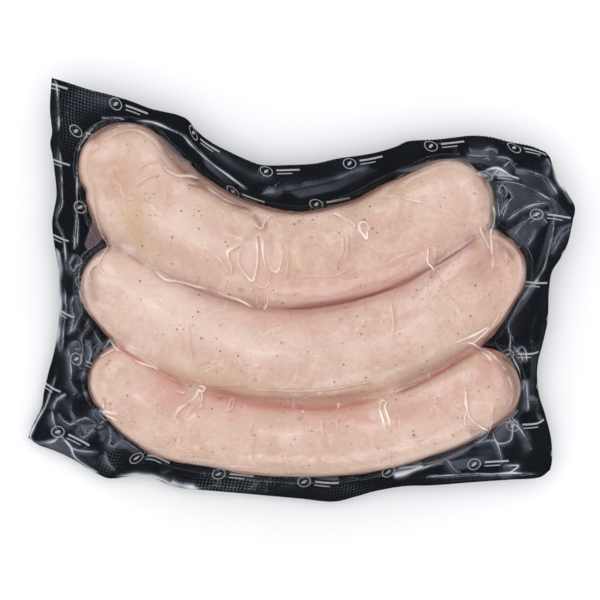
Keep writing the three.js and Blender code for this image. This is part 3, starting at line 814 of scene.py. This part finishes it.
def crumple(xy, seed, sizes):
    """Sum of creased waves of each size: |sin| along random directions, bent by slow drifting waves, which is
    sharp at its low lines and rounded between them; about 0 to 1."""
    draw = np.random.default_rng(seed)
    xyz = np.concatenate([xy, np.zeros(xy.shape[:-1] + (1,))], -1)
    total, weight = 0, 0
    for length, count in sizes:
        for _ in range(count):
            way = draw.random() * np.pi
            bend = 0.9 * wobble(xyz + draw.normal(size=3), DRIFT)
            along = xy[..., 0] * np.cos(way) + xy[..., 1] * np.sin(way)
            phase = along / length * np.pi + bend * 3 + draw.random() * 6
            total = total + length * (1 - np.abs(np.sin(phase)))
            weight += length
    return total / weight


# Places on the flange where the film is most crumpled, as [x, y, width, height, turn, strength]
CRUMPLED = [[530, 200, 48, 44, 0, 0.42], [520, 300, 26, 60, 0, 0.35], [524, 400, 26, 60, 0, 0.5],
            [470, 455, 60, 14, 0, 0.35], [85, 430, 46, 40, 0, 0.6], [75, 330, 24, 60, 0, 0.6],
            [60, 200, 14, 80, 0, 0.35], [250, 480, 120, 12, 0, 0.4], [480, 150, 60, 12, 0, 0.6]]
outside = np.minimum.reduce([h[1] for h in humps])
creased = soft(1.0, 1.14, outside) * np.clip(patches(cover_xy, CRUMPLED), 0, 1)
cover_white_and_sheen = np.zeros(cover_z.size)
cover_rise = np.zeros(cover_z.size)
cover_shade = np.zeros(cover_z.size)
plane = np.concatenate([cover_xy, np.zeros(cover_z.shape + (1,))], -1)
uneven = np.clip(0.88 + 0.6 * wobble(plane, RIPPLES), 0.42, 1.5).ravel()
broken = np.random.default_rng(31).random(cover_z.size)  # flecks of the sparkling folds
SHADE_SIDE = np.array([0.7, 0.9])  # the shade lies to the right of and below each fold, in half widths
GLEAM_SIDE = np.array([-0.7e-3, 0.7e-3]) / PLAN  # the black film gleams softly to the left of and below each fold
GLEAM_WIDTH, GLEAM = 1.1e-3, 0.11
for group, (height, half_width, white, shade, speckle, lines) in FOLDS.items():
    for points in lines:
        near, share = stroke(cover_xy, points, half_width * 1e-3)
        cover_rise[near] = np.maximum(cover_rise[near], share * height * 1e-3)
        white_here = share ** (1.7 / uneven[near]) * white * uneven[near] * (1 - speckle * broken[near])
        cover_white_and_sheen[near] = np.maximum(cover_white_and_sheen[near], white_here)
        if group.startswith("folds in the black"):
            near, share = stroke(cover_xy, (np.array(points) + GLEAM_SIDE).tolist(), GLEAM_WIDTH)
            cover_white_and_sheen[near] = np.maximum(cover_white_and_sheen[near], share * GLEAM * uneven[near])
        if shade:
            aside = (np.array(points) + SHADE_SIDE * half_width * 1e-3 / PLAN).tolist()
            near, share = stroke(cover_xy, aside, half_width * 1.3e-3)
            cover_shade[near] = np.maximum(cover_shade[near], share**1.5 * shade)
cover_rise = cover_rise.reshape(cover_z.shape)

# Veils of crinkled film, as [x, y, width, height, turn, strength]
VEILS = [[474, 418, 8, 18, 12, 0.26], [482, 432, 5, 9, 20, 0.28], [470, 336, 13, 4, 25, 0.22],
         [495, 360, 10, 5, -45, 0.25], [112, 411, 14, 4, -8, 0.24], [200, 392, 12, 6, 40, 0.18],
         [104, 264, 6, 12, -20, 0.18], [256, 262, 16, 16, 0, 0.07], [488, 192, 4, 16, 0, 0.25],
         [500, 172, 12, 4, -10, 0.26], [491, 238, 4, 26, 0, 0.24], [428, 262, 6, 8, 0, 0.12],
         [356, 232, 8, 6, 0, 0.12], [384, 412, 7, 14, 0, 0.10], [110, 349, 8, 4, 30, 0.22],
         [60, 448, 16, 5, -30, 0.08]]
# Panes of film wet with juice beside the meat, as strength and corners in turn
WET = [(0.85, [[91, 226], [94, 221], [102, 231], [104, 238], [98, 242], [87, 249], [85, 244]]),
       (0.6, [[150, 133], [163, 138], [178, 152], [192, 168], [206, 182], [196, 182], [178, 168], [164, 152]]),
       (0.4, [[206, 182], [230, 196], [256, 208], [250, 210], [224, 200]]),
       (0.5, [[484, 183], [491, 190], [494, 205], [492, 222], [488, 230], [486, 205]]),
       (0.6, [[490, 226], [499, 233], [507, 242], [498, 244], [490, 238]]),
       (0.5, [[86, 150], [92, 138], [103, 130], [118, 125], [110, 132], [97, 143]]),
       (0.5, [[400, 171], [430, 162], [462, 158], [474, 162], [440, 165], [410, 173]]),
       (0.5, [[496, 344], [506, 356], [514, 366], [504, 360]]), (0.5, [[98, 340], [104, 344], [100, 352], [95, 358]]),
       (0.4, [[420, 464], [440, 460], [462, 450], [480, 441], [462, 455], [438, 465]])]
# Smooth panes between the folds, as strength and corners in turn; each mirrors the tent softly
PANES = [(0.085, [[496, 186], [508, 183], [530, 190], [552, 203], [535, 209], [515, 218], [502, 222], [498, 205]]),
         (0.06, [[513, 168], [528, 172], [545, 182], [556, 196], [540, 194], [524, 184]]),
         (0.10, [[470, 149], [488, 150], [500, 157], [510, 164], [500, 169], [482, 164], [468, 160]]),
         (0.17, [[515, 168], [530, 170], [538, 174], [528, 176], [516, 174]]),
         (0.10, [[506, 232], [522, 222], [538, 217], [546, 221], [536, 236], [528, 250], [516, 244]]),
         (0.06, [[546, 202], [556, 200], [572, 220], [557, 227], [551, 214]]),
         (0.11, [[557, 228], [571, 223], [562, 234], [554, 244]]),
         (0.40, [[554, 165], [558, 169], [574, 202], [570, 203], [561, 188]]),
         (0.07, [[551, 220], [553, 222], [548, 250], [538, 272], [532, 280], [541, 255]]),
         (0.50, [[56, 249], [59, 253], [62, 268], [61.6, 277], [60, 283], [58, 274], [56.6, 257]]),
         (0.38, [[59.4, 297], [61, 306], [61.5, 314], [59, 331], [54, 345], [56.6, 326]]),
         (0.16, [[466, 398], [489, 400], [488, 424], [486, 432], [476, 424], [467, 416]]),
         (0.34, [[472, 176], [486, 171.5], [497, 168.5], [494, 176], [480, 178]]),
         (0.28, [[499, 169], [510, 175], [521, 181], [506, 181], [497, 177]]),
         (0.15, [[486, 172], [492, 190], [493, 205], [491, 223], [487.5, 232], [484, 215], [483, 190]]),
         (0.10, [[487.5, 232], [489, 250], [488, 272], [478, 262], [476, 240]]),
         (0.14, [[450, 342], [466, 339], [487, 326], [479, 338], [474, 346]]),
         (0.14, [[100, 408], [120, 409], [140, 418], [128, 421], [110, 416]]),
         (0.45, [[515, 351.5], [519, 349], [522, 348], [520, 354]]),
         (0.28, [[84, 326], [88, 319], [90, 321], [87, 326]]), (0.25, [[82, 393], [85, 392.5], [88, 398], [85, 399]]),
         (0.12, [[474, 446], [484, 440], [493, 438], [490, 443]]),
         (0.16, [[84, 340], [90, 341], [92, 352], [86, 366], [82, 366], [85, 352]]),
         (0.10, [[67, 344], [78, 345], [76, 362], [72, 378], [67, 372]]),
         (0.12, [[74, 296], [82, 294], [82, 308], [76, 324], [72, 330]]),
         (0.09, [[34, 443], [60, 438], [68, 448], [88, 466], [98, 474], [84, 467], [60, 455]]),
         (0.17, [[92, 412], [102, 410], [104, 423], [97, 421]]), (0.13, [[76, 425], [96, 425], [86, 438], [79, 434]]),
         (0.12, [[110, 430], [119, 439], [114, 448], [108, 445]]),
         (0.15, [[120, 442], [132, 446], [139, 451], [116, 450]]),
         (0.14, [[495, 433], [503, 423], [511, 424], [511, 433], [508, 441], [498, 442]]),
         (0.20, [[513, 346], [521, 350], [524, 359], [516, 356]]),
         (0.10, [[522, 380], [530, 380], [531, 408], [525, 408]]),
         (0.10, [[532, 284], [538, 284], [524, 306], [514, 320], [510, 330], [508, 322]]),
         (0.10, [[448, 462], [470, 458], [500, 454], [500, 462], [460, 470]]),
         (0.12, [[200, 150], [216, 168], [234, 184], [226, 184], [206, 166]]),
         (0.08, [[290, 192], [330, 184], [372, 168], [378, 170], [336, 190], [300, 198]]),
         (0.20, [[258, 240], [257, 262], [250, 279], [242, 268], [230, 256], [249, 243]]),
         (0.18, [[282, 247], [280, 262], [274, 272], [268, 262], [262, 238], [270, 232]]),
         (0.16, [[233, 214], [246, 213], [256, 226], [262, 230], [250, 232], [238, 226]]),
         (0.16, [[266, 222], [274, 217], [286, 232], [284, 245], [272, 236]]),
         (0.18, [[190, 401], [200, 392], [204, 397], [196, 404], [187, 414], [183, 410]])]


def pane(xy, corners, edge=0.0006):
    """1 inside a shape with corners, falling to 0 over edge at its rim: even-odd crossings give inside or
    outside, and the distance to the nearest side gives the fall. With it a slope, 1 at the first side, 0 opposite."""
    c = on_plan(corners)
    low, high = c.min(0) - edge, c.max(0) + edge
    near = np.flatnonzero(((xy > low) & (xy < high)).all(-1).ravel())
    p = xy.reshape(-1, 2)[near]
    inside = np.zeros(len(p), bool)
    gap = np.full(len(p), 1e9)
    for a, b in zip(c, np.roll(c, -1, 0)):
        side = (b[0] - a[0]) * (p[:, 1] - a[1]) / (b[1] - a[1] + 1e-12) + a[0]
        inside ^= ((a[1] > p[:, 1]) != (b[1] > p[:, 1])) & (p[:, 0] < side)
        t = np.clip(((p - a) @ (b - a)) / ((b - a) @ (b - a)), 0, 1)
        gap = np.minimum(gap, np.linalg.norm(p - a - t[:, None] * (b - a), axis=1))
    toward = (c[0] + c[1]) / 2 - c.mean(0)
    slope = np.clip(0.5 + 0.5 * ((p - c.mean(0)) @ toward) / (toward @ toward), 0, 1)
    return near, soft(-edge, edge, np.where(inside, gap, -gap)), slope


for strength, corners in PANES:
    near, share, slope = pane(cover_xy, corners)
    share = share * strength * (0.35 + 1.1 * slope) * (0.55 + 0.45 * uneven[near])
    cover_white_and_sheen[near] = np.maximum(cover_white_and_sheen[near], share)
cover_white_and_sheen = np.clip(cover_white_and_sheen.reshape(cover_z.shape), 0, 0.92)
cover_white_and_sheen = np.maximum(cover_white_and_sheen, patches(cover_xy, VEILS) * (0.7 + 0.5 * wobble(plane, RIPPLES)))
cover_wet = np.zeros(cover_z.size)
for strength, corners in WET:
    near, share, _ = pane(cover_xy, corners)
    cover_wet[near] = np.maximum(cover_wet[near], share * strength)
cover_wet = cover_wet.reshape(cover_z.shape) * soft(0.94, 1.0, outside)
cover_shade = np.clip(cover_shade.reshape(cover_z.shape), 0, 1) * soft(1.02, 0.98, outside)
edge_fade = soft(0, 0.02, cover_u) * soft(1, 0.98, cover_u) * soft(0, 0.02, cover_v) * soft(1, 0.98, cover_v)
CRUMPLE_HEIGHT, CRUMPLE_SIZES = 0.0026, [(0.019, 3), (0.010, 3)]
cover_rise = cover_rise + creased * edge_fade * CRUMPLE_HEIGHT * crumple(cover_xy, 5, CRUMPLE_SIZES)
cover_rise = cover_rise + PUFF_HEIGHT * patches(cover_xy, PUFFS) + RIPPLE_SIZE * wobble(plane, RIPPLES)
cover_z = cover_z + cover_rise


# The black backing film: printed barrier film, about a tenth of a millimetre thick, glossy, and bright only along
# its creases. It is sealed to the clear film on the flange and dips under the sausages, down to the table.
BACK_STEP = 2  # its grid has half as many cells each way as the clear film's
BACK_GAP = 0.00025  # below the clear film
back_xy = cover_xy[::BACK_STEP, ::BACK_STEP]
back_z = np.minimum(cover_z, flange + np.clip(cover_rise, 0, 1))[::BACK_STEP, ::BACK_STEP] - BACK_GAP
# Undersides of the sausages with room around them: middle - (half_height + room) (1 - reach^PRESSED)^(1 / PRESSED)
BELLY_ROOM, BELLY_SHARE = 0.0008, 0.962  # the room, and the share that the reach shrinks to
belly = np.full(back_z.shape, 1.0)
for s, (_, r) in zip(SAUSAGES.values(), humps):
    r = r[::BACK_STEP, ::BACK_STEP] * BELLY_SHARE
    deep = (s["half_height"] + BELLY_ROOM) * (1 - np.clip(r, 0, 1) ** PRESSED) ** (1 / PRESSED)
    belly = np.where(r < 1, np.minimum(belly, s["bottom"] + s["half_height"] - deep), belly)
back_z = np.minimum(back_z, belly)
back_z = np.minimum(relax(back_z, np.zeros(back_z.shape), np.zeros(back_z.shape), 3), belly)
back_z = np.maximum(back_z, 0.0001)  # just above the table


def sheet_mesh(name, xy, z, uv):
    """Quads between neighbouring points of the grid, facing up, with the flat film as its UV map."""
    rows, columns = z.shape
    points = np.concatenate([xy, z[..., None]], -1).reshape(-1, 3)
    i = np.arange(rows - 1)[:, None] * columns
    j = np.arange(columns - 1)[None]
    quads = np.stack([i + j, i + columns + j, i + columns + j + 1, i + j + 1], -1).reshape(-1, 4)
    piece = to_mesh(name, points, quads)
    layer = piece.data.uv_layers.new(name="flat")
    layer.data.foreach_set("uv", uv.reshape(-1, 2)[quads.ravel()].astype(np.float32).ravel())
    return piece


# The print, in metres on the flat film: steps between rings, a ring as centre x, radius and half thickness, a leaf
# as offset of its two circles and their radius, and bars as centre x, centre y, half length and half thickness
PRINT_STEP = (0.033, 0.0165)
RING = (-0.0065, 0.0024, 0.00016)
LEAF = (0.0008, 0.0017)
BARS = [(0.0022, 0.0006, 0.0046, 0.00042), (0.0006, -0.0011, 0.0030, 0.00022)]
PRINT_EDGE = 0.00008


def print_group():
    """The print in outline form, in rows shifted by half a step: a thin ring with a leaf in it, and two bars.
    A ring is where the distance to its centre is near its radius, a leaf where two circles overlap."""
    tree, n, given, result = new_group("film_print", {"Flat": "vector"}, {"Mask": "value"})
    flat = n.add("SeparateXYZ", {0: given.outputs["Flat"]})
    row = n.math("DIVIDE", flat.outputs[1], PRINT_STEP[1])
    shift = n.math("MULTIPLY", n.math("MODULO", n.math("FLOOR", row), 2.0), 0.5)
    column = n.math("ADD", n.math("DIVIDE", flat.outputs[0], PRINT_STEP[0]), shift)
    x = n.math("MULTIPLY", n.math("SUBTRACT", n.math("FRACT", column), 0.5), PRINT_STEP[0])
    y = n.math("MULTIPLY", n.math("SUBTRACT", n.math("FRACT", row), 0.5), PRINT_STEP[1])

    def near(value, size):
        return n.add("MapRange", {0: value, 1: size + PRINT_EDGE, 2: size - PRINT_EDGE, 3: 0.0, 4: 1.0}).outputs[0]

    def distance(cx, cy):
        across, up = n.math("SUBTRACT", x, cx), n.math("SUBTRACT", y, cy)
        return n.math("SQRT", n.math("ADD", n.math("MULTIPLY", across, across), n.math("MULTIPLY", up, up)))

    def bar(cx, cy, wide, high):
        return n.math("MULTIPLY", near(n.math("ABSOLUTE", n.math("SUBTRACT", x, cx)), wide),
                      near(n.math("ABSOLUTE", n.math("SUBTRACT", y, cy)), high))

    centre, radius, thin = RING
    aside, bend = LEAF
    leaf = n.math("MULTIPLY", near(distance(centre - aside, aside), bend), near(distance(centre + aside, -aside), bend))
    mask = near(n.math("ABSOLUTE", n.math("SUBTRACT", distance(centre, 0.0), radius)), thin)
    for part in (leaf, *[bar(*b) for b in BARS]):
        mask = n.math("MAXIMUM", mask, part)
    n.tree.links.new(mask, result.inputs["Mask"])
    return tree


STUD_STEP = 0.00135  # from stud to stud, in metres on the flat film


def knurl_group():
    """Diamond studs of the sealing bar: sin(x + y) sin(x - y), above 0, where x and y grow by pi in a step."""
    tree, n, given, result = new_group("seal_knurl", {"Flat": "vector"}, {"Height": "value"})
    flat = n.add("SeparateXYZ", {0: given.outputs["Flat"]})
    x, y = (n.math("MULTIPLY", flat.outputs[k], np.pi / STUD_STEP) for k in (0, 1))
    studs = n.math("MULTIPLY", n.math("SINE", n.math("ADD", x, y)), n.math("SINE", n.math("SUBTRACT", x, y)))
    n.tree.links.new(n.math("MAXIMUM", studs, 0.0), result.inputs["Height"])
    return tree


KNURL = knurl_group()


def knurl(n):
    """Height of the knurling, where the attribute seal says that the bar pressed."""
    flat = n.add("UVMap", uv_map="flat").outputs[0]
    studs = n.add("Group", node_tree=KNURL)
    n.tree.links.new(flat, studs.inputs["Flat"])
    return n.math("MULTIPLY", studs.outputs["Height"], n.read("seal"))


def black_material():
    """Black film with a blue cast, glossy, softly clouded, with its pale print and the studs of the seal painted
    lighter as a highlight.
    """
    material, n, out = new_material("black_film")
    place = n.add("TexCoord").outputs["Object"]
    flat = n.add("UVMap", uv_map="flat").outputs[0]
    cloud = n.add("TexNoise", {"Vector": place, "Scale": 90.0, "Detail": 5.0, "Roughness": 0.6}).outputs["Fac"]
    tone = n.mix(cloud, colour(2, 6, 14), colour(14, 20, 32))
    studs = knurl(n)
    # Painted highlight on the seal's studs
    tone = n.mix(n.math("MULTIPLY", studs, 0.8), tone, colour(84, 92, 102))
    printed = n.add("Group", node_tree=print_group())
    n.tree.links.new(flat, printed.inputs["Flat"])
    tone = n.mix(n.math("MULTIPLY", printed.outputs["Mask"], 0.9), tone, colour(196, 200, 206))
    rough = n.add("MapRange", {0: cloud, 1: 0.3, 2: 0.7, 3: 0.16, 4: 0.28}).outputs[0]
    bump = n.add("Bump", {"Height": cloud, "Strength": 0.3, "Distance": 0.0006})
    shade = n.add("BsdfPrincipled", {"Base Color": tone, "Roughness": rough, "Specular IOR Level": 0.4,
                                     "Normal": bump.outputs[0]})
    n.tree.links.new(shade.outputs[0], out.inputs["Surface"])
    return material


# Where the seal's knurling shows, as [x, y, width, height, turn, strength]
SEAL = [[86, 99, 24, 14, -8, 1], [71, 128, 8, 16, 0, 1], [108, 462, 12, 9, -40, 1], [225, 485, 55, 9, -5, 1],
        [350, 490, 22, 6, 5, 0.8], [145, 460, 10, 6, 0, 0.5], [480, 481, 50, 4, 3, 0.6], [300, 160, 60, 4, 0, 0.4]]
seal = np.clip(patches(cover_xy, SEAL) * 1.3, 0, 1)
FLAT_SIZE = (0.206, 0.16)  # of the sheet before it shrank, in metres
flat_uv = np.stack([cover_u * FLAT_SIZE[0], (1 - cover_v) * FLAT_SIZE[1]], -1)
back = sheet_mesh("black_backing", back_xy, back_z, flat_uv[::BACK_STEP, ::BACK_STEP])
mark(back, "seal", seal[::BACK_STEP, ::BACK_STEP])
back.data.materials.append(black_material())
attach(back, "root")
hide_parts("back_film")


# The clear cover film: barrier film about a tenth of a millimetre thick, drawn down over the sausages by the vacuum
# and sealed to the black film around them. It is glossy, with painted highlights and sheens along its folds, partly
# the white of doubled film, and wet in a few pockets.


def clear_material():
    """Clear gloss: what lies behind, plus a reflection that grows at a slant, and folds whitened by painted highlights.
    """
    material, n, out = new_material("clear_film")
    place = n.add("TexCoord").outputs["Object"]
    ripple = n.add("TexNoise", {"Vector": place, "Scale": 160.0, "Detail": 4.0, "Roughness": 0.55}).outputs["Fac"]
    bent = n.add("TexNoise", {"Vector": place, "Scale": 95.0, "Detail": 3.0, "Roughness": 0.6, "Distortion": 0.6})
    crease = n.ramp(n.math("ABSOLUTE", n.math("SUBTRACT", bent.outputs["Fac"], 0.5)), 0.02, 0.0)
    patchy = n.ramp(n.add("TexNoise", {"Vector": place, "Scale": 60.0, "Detail": 2.0}).outputs["Fac"], 0.48, 0.62)
    crease = n.math("MULTIPLY", crease, patchy)
    ripple = n.math("ADD", ripple, n.math("ADD", n.math("MULTIPLY", knurl(n), 0.6), n.math("MULTIPLY", crease, 0.35)))
    bump = n.add("Bump", {"Height": ripple, "Strength": 0.2, "Distance": 0.0005})
    through = n.mix(n.read("shade"), (0.905, 0.895, 0.89, 1.0), (0.72, 0.56, 0.49, 1.0))
    clear = n.add("BsdfTransparent", {"Color": through})
    gloss = n.add("BsdfGlossy", {"Color": (1, 1, 1, 1), "Roughness": 0.09, "Normal": bump.outputs[0]})
    slant = n.add("Fresnel", {"IOR": 1.55, "Normal": bump.outputs[0]})
    film = n.add("MixShader", {0: n.math("MINIMUM", slant.outputs[0], 0.2), 1: clear.outputs[0], 2: gloss.outputs[0]})
    # The fold mark: painted highlights, sheens and gleams, partly the white of doubled film
    on_black = n.mix(n.ramp(n.read("fold"), 0.1, 0.4), colour(184, 193, 216), colour(218, 221, 226))
    whitened = n.mix(n.read("on_meat"), on_black, colour(250, 234, 222))
    whitened = n.mix(n.read("wet"), whitened, colour(126, 84, 80))
    # Small creases get painted highlights on the meat
    folded = n.math("MAXIMUM", n.read("fold"), n.math("MULTIPLY", n.math("MULTIPLY", crease, 0.26), n.read("on_meat")))
    folded = n.math("MAXIMUM", folded, n.math("MULTIPLY", n.read("wet"), 0.7))
    white = n.add("BsdfPrincipled", {"Base Color": whitened, "Roughness": 0.3, "Specular IOR Level": 0.3})
    both = n.add("MixShader", {0: folded, 1: film.outputs[0], 2: white.outputs[0]})
    n.tree.links.new(both.outputs[0], out.inputs["Surface"])
    return material


clear = clear_material()
FILM_MARKS = {"fold": cover_white_and_sheen, "shade": cover_shade, "seal": seal, "wet": cover_wet,
              "on_meat": soft(1.06, 0.98, outside)}
# One sheet, kept as four meshes that share their edge points
CUTS = {"left": (0, 160), "mid_left": (160, 320), "mid_right": (320, 480), "right": (480, NU)}
for side, (first, last) in CUTS.items():
    cut = (slice(None), slice(first, last + 1))
    piece = sheet_mesh("clear_cover_" + side, cover_xy[cut], cover_z[cut], flat_uv[cut])
    for key, values in FILM_MARKS.items():
        mark(piece, key, values[cut])
    piece.data.materials.append(clear)
    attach(piece, "root")
    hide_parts("clear_film")


# The studio: a pale table under a soft bright tent. What the glossy films mirror is dim overhead, where the camera
# hangs, with four soft boxes around it.
TABLE = 1.5  # half its side, in metres
floor_mesh = bpy.data.meshes.new("floor")
corners = [(-TABLE, -TABLE, 0), (TABLE, -TABLE, 0), (TABLE, TABLE, 0), (-TABLE, TABLE, 0)]
floor_mesh.from_pydata(corners, [], [(0, 1, 2, 3)])
floor = bpy.data.objects.new("floor", floor_mesh)
scene.collection.objects.link(floor)
floor_look, n, out = new_material("floor")
shade = n.add("BsdfPrincipled", {"Base Color": (0.84, 0.84, 0.84, 1), "Roughness": 0.7, "Specular IOR Level": 0.2})
n.tree.links.new(shade.outputs[0], out.inputs["Surface"])
floor_mesh.materials.append(floor_look)

# The tent's light for matt surfaces and its picture in glossy ones, by height of direction
world = bpy.data.worlds.new("surround")
world.use_nodes = True
n = Nodes(world.node_tree)
toward = n.add("TexCoord").outputs["Generated"]
height = n.add("SeparateXYZ", {0: toward}).outputs["Z"]
matt = n.add("MapRange", {0: height, 1: 0.1, 2: 1.0, 3: 1.05, 4: 1.48}, interpolation_type="SMOOTHSTEP").outputs[0]
gloss = n.add("MapRange", {0: height, 1: 0.70, 2: 0.95, 3: 0.45, 4: 0.04}, interpolation_type="SMOOTHSTEP").outputs[0]
# Soft boxes that the films mirror, as direction, cosines of the outer and inner edge of the glow, and strength
SOFT_BOXES = [((-0.50, 0.42, 0.76), 0.90, 0.985, 2.6), ((0.62, 0.30, 0.72), 0.93, 0.99, 1.5),
              ((0.15, -0.72, 0.68), 0.95, 0.99, 2.0), ((-0.72, -0.30, 0.62), 0.94, 0.99, 1.5)]
for way, outer, inner, strength in SOFT_BOXES:
    along = n.add("VectorMath", {0: toward, 1: Vector(way).normalized()}, operation="DOT_PRODUCT").outputs["Value"]
    glow = n.add("MapRange", {0: along, 1: outer, 2: inner, 3: 0.0, 4: strength}, interpolation_type="SMOOTHSTEP")
    gloss = n.math("ADD", gloss, glow.outputs[0])
bright = n.add("Mix", {0: n.add("LightPath").outputs["Is Glossy Ray"], 2: matt, 3: gloss}).outputs[0]
ground = world.node_tree.nodes["Background"]
tint = n.mix(n.add("LightPath").outputs["Is Glossy Ray"], (0.97, 0.975, 1.0, 1.0), (0.80, 0.90, 1.0, 1.0))
world.node_tree.links.new(tint, ground.inputs[0])
world.node_tree.links.new(bright, ground.inputs[1])
scene.world = world
scene.view_settings.view_transform = "Standard"

# Straight above: the plan's 600 units fill the picture at the height of the flange, and y 300 is its middle
lens = bpy.data.cameras.new("camera")
camera = bpy.data.objects.new("camera", lens)
CAMERA_HEIGHT, FLANGE_LEVEL, PICTURE, SENSOR = 0.9, 0.012, 600, 36
lens.sensor_width = SENSOR
lens.lens = SENSOR * (CAMERA_HEIGHT - FLANGE_LEVEL) / (PICTURE * PLAN)
camera.location = (0, (PLAN_MIDDLE[1] - PICTURE / 2) * PLAN, CAMERA_HEIGHT)
scene.collection.objects.link(camera)
scene.camera = camera
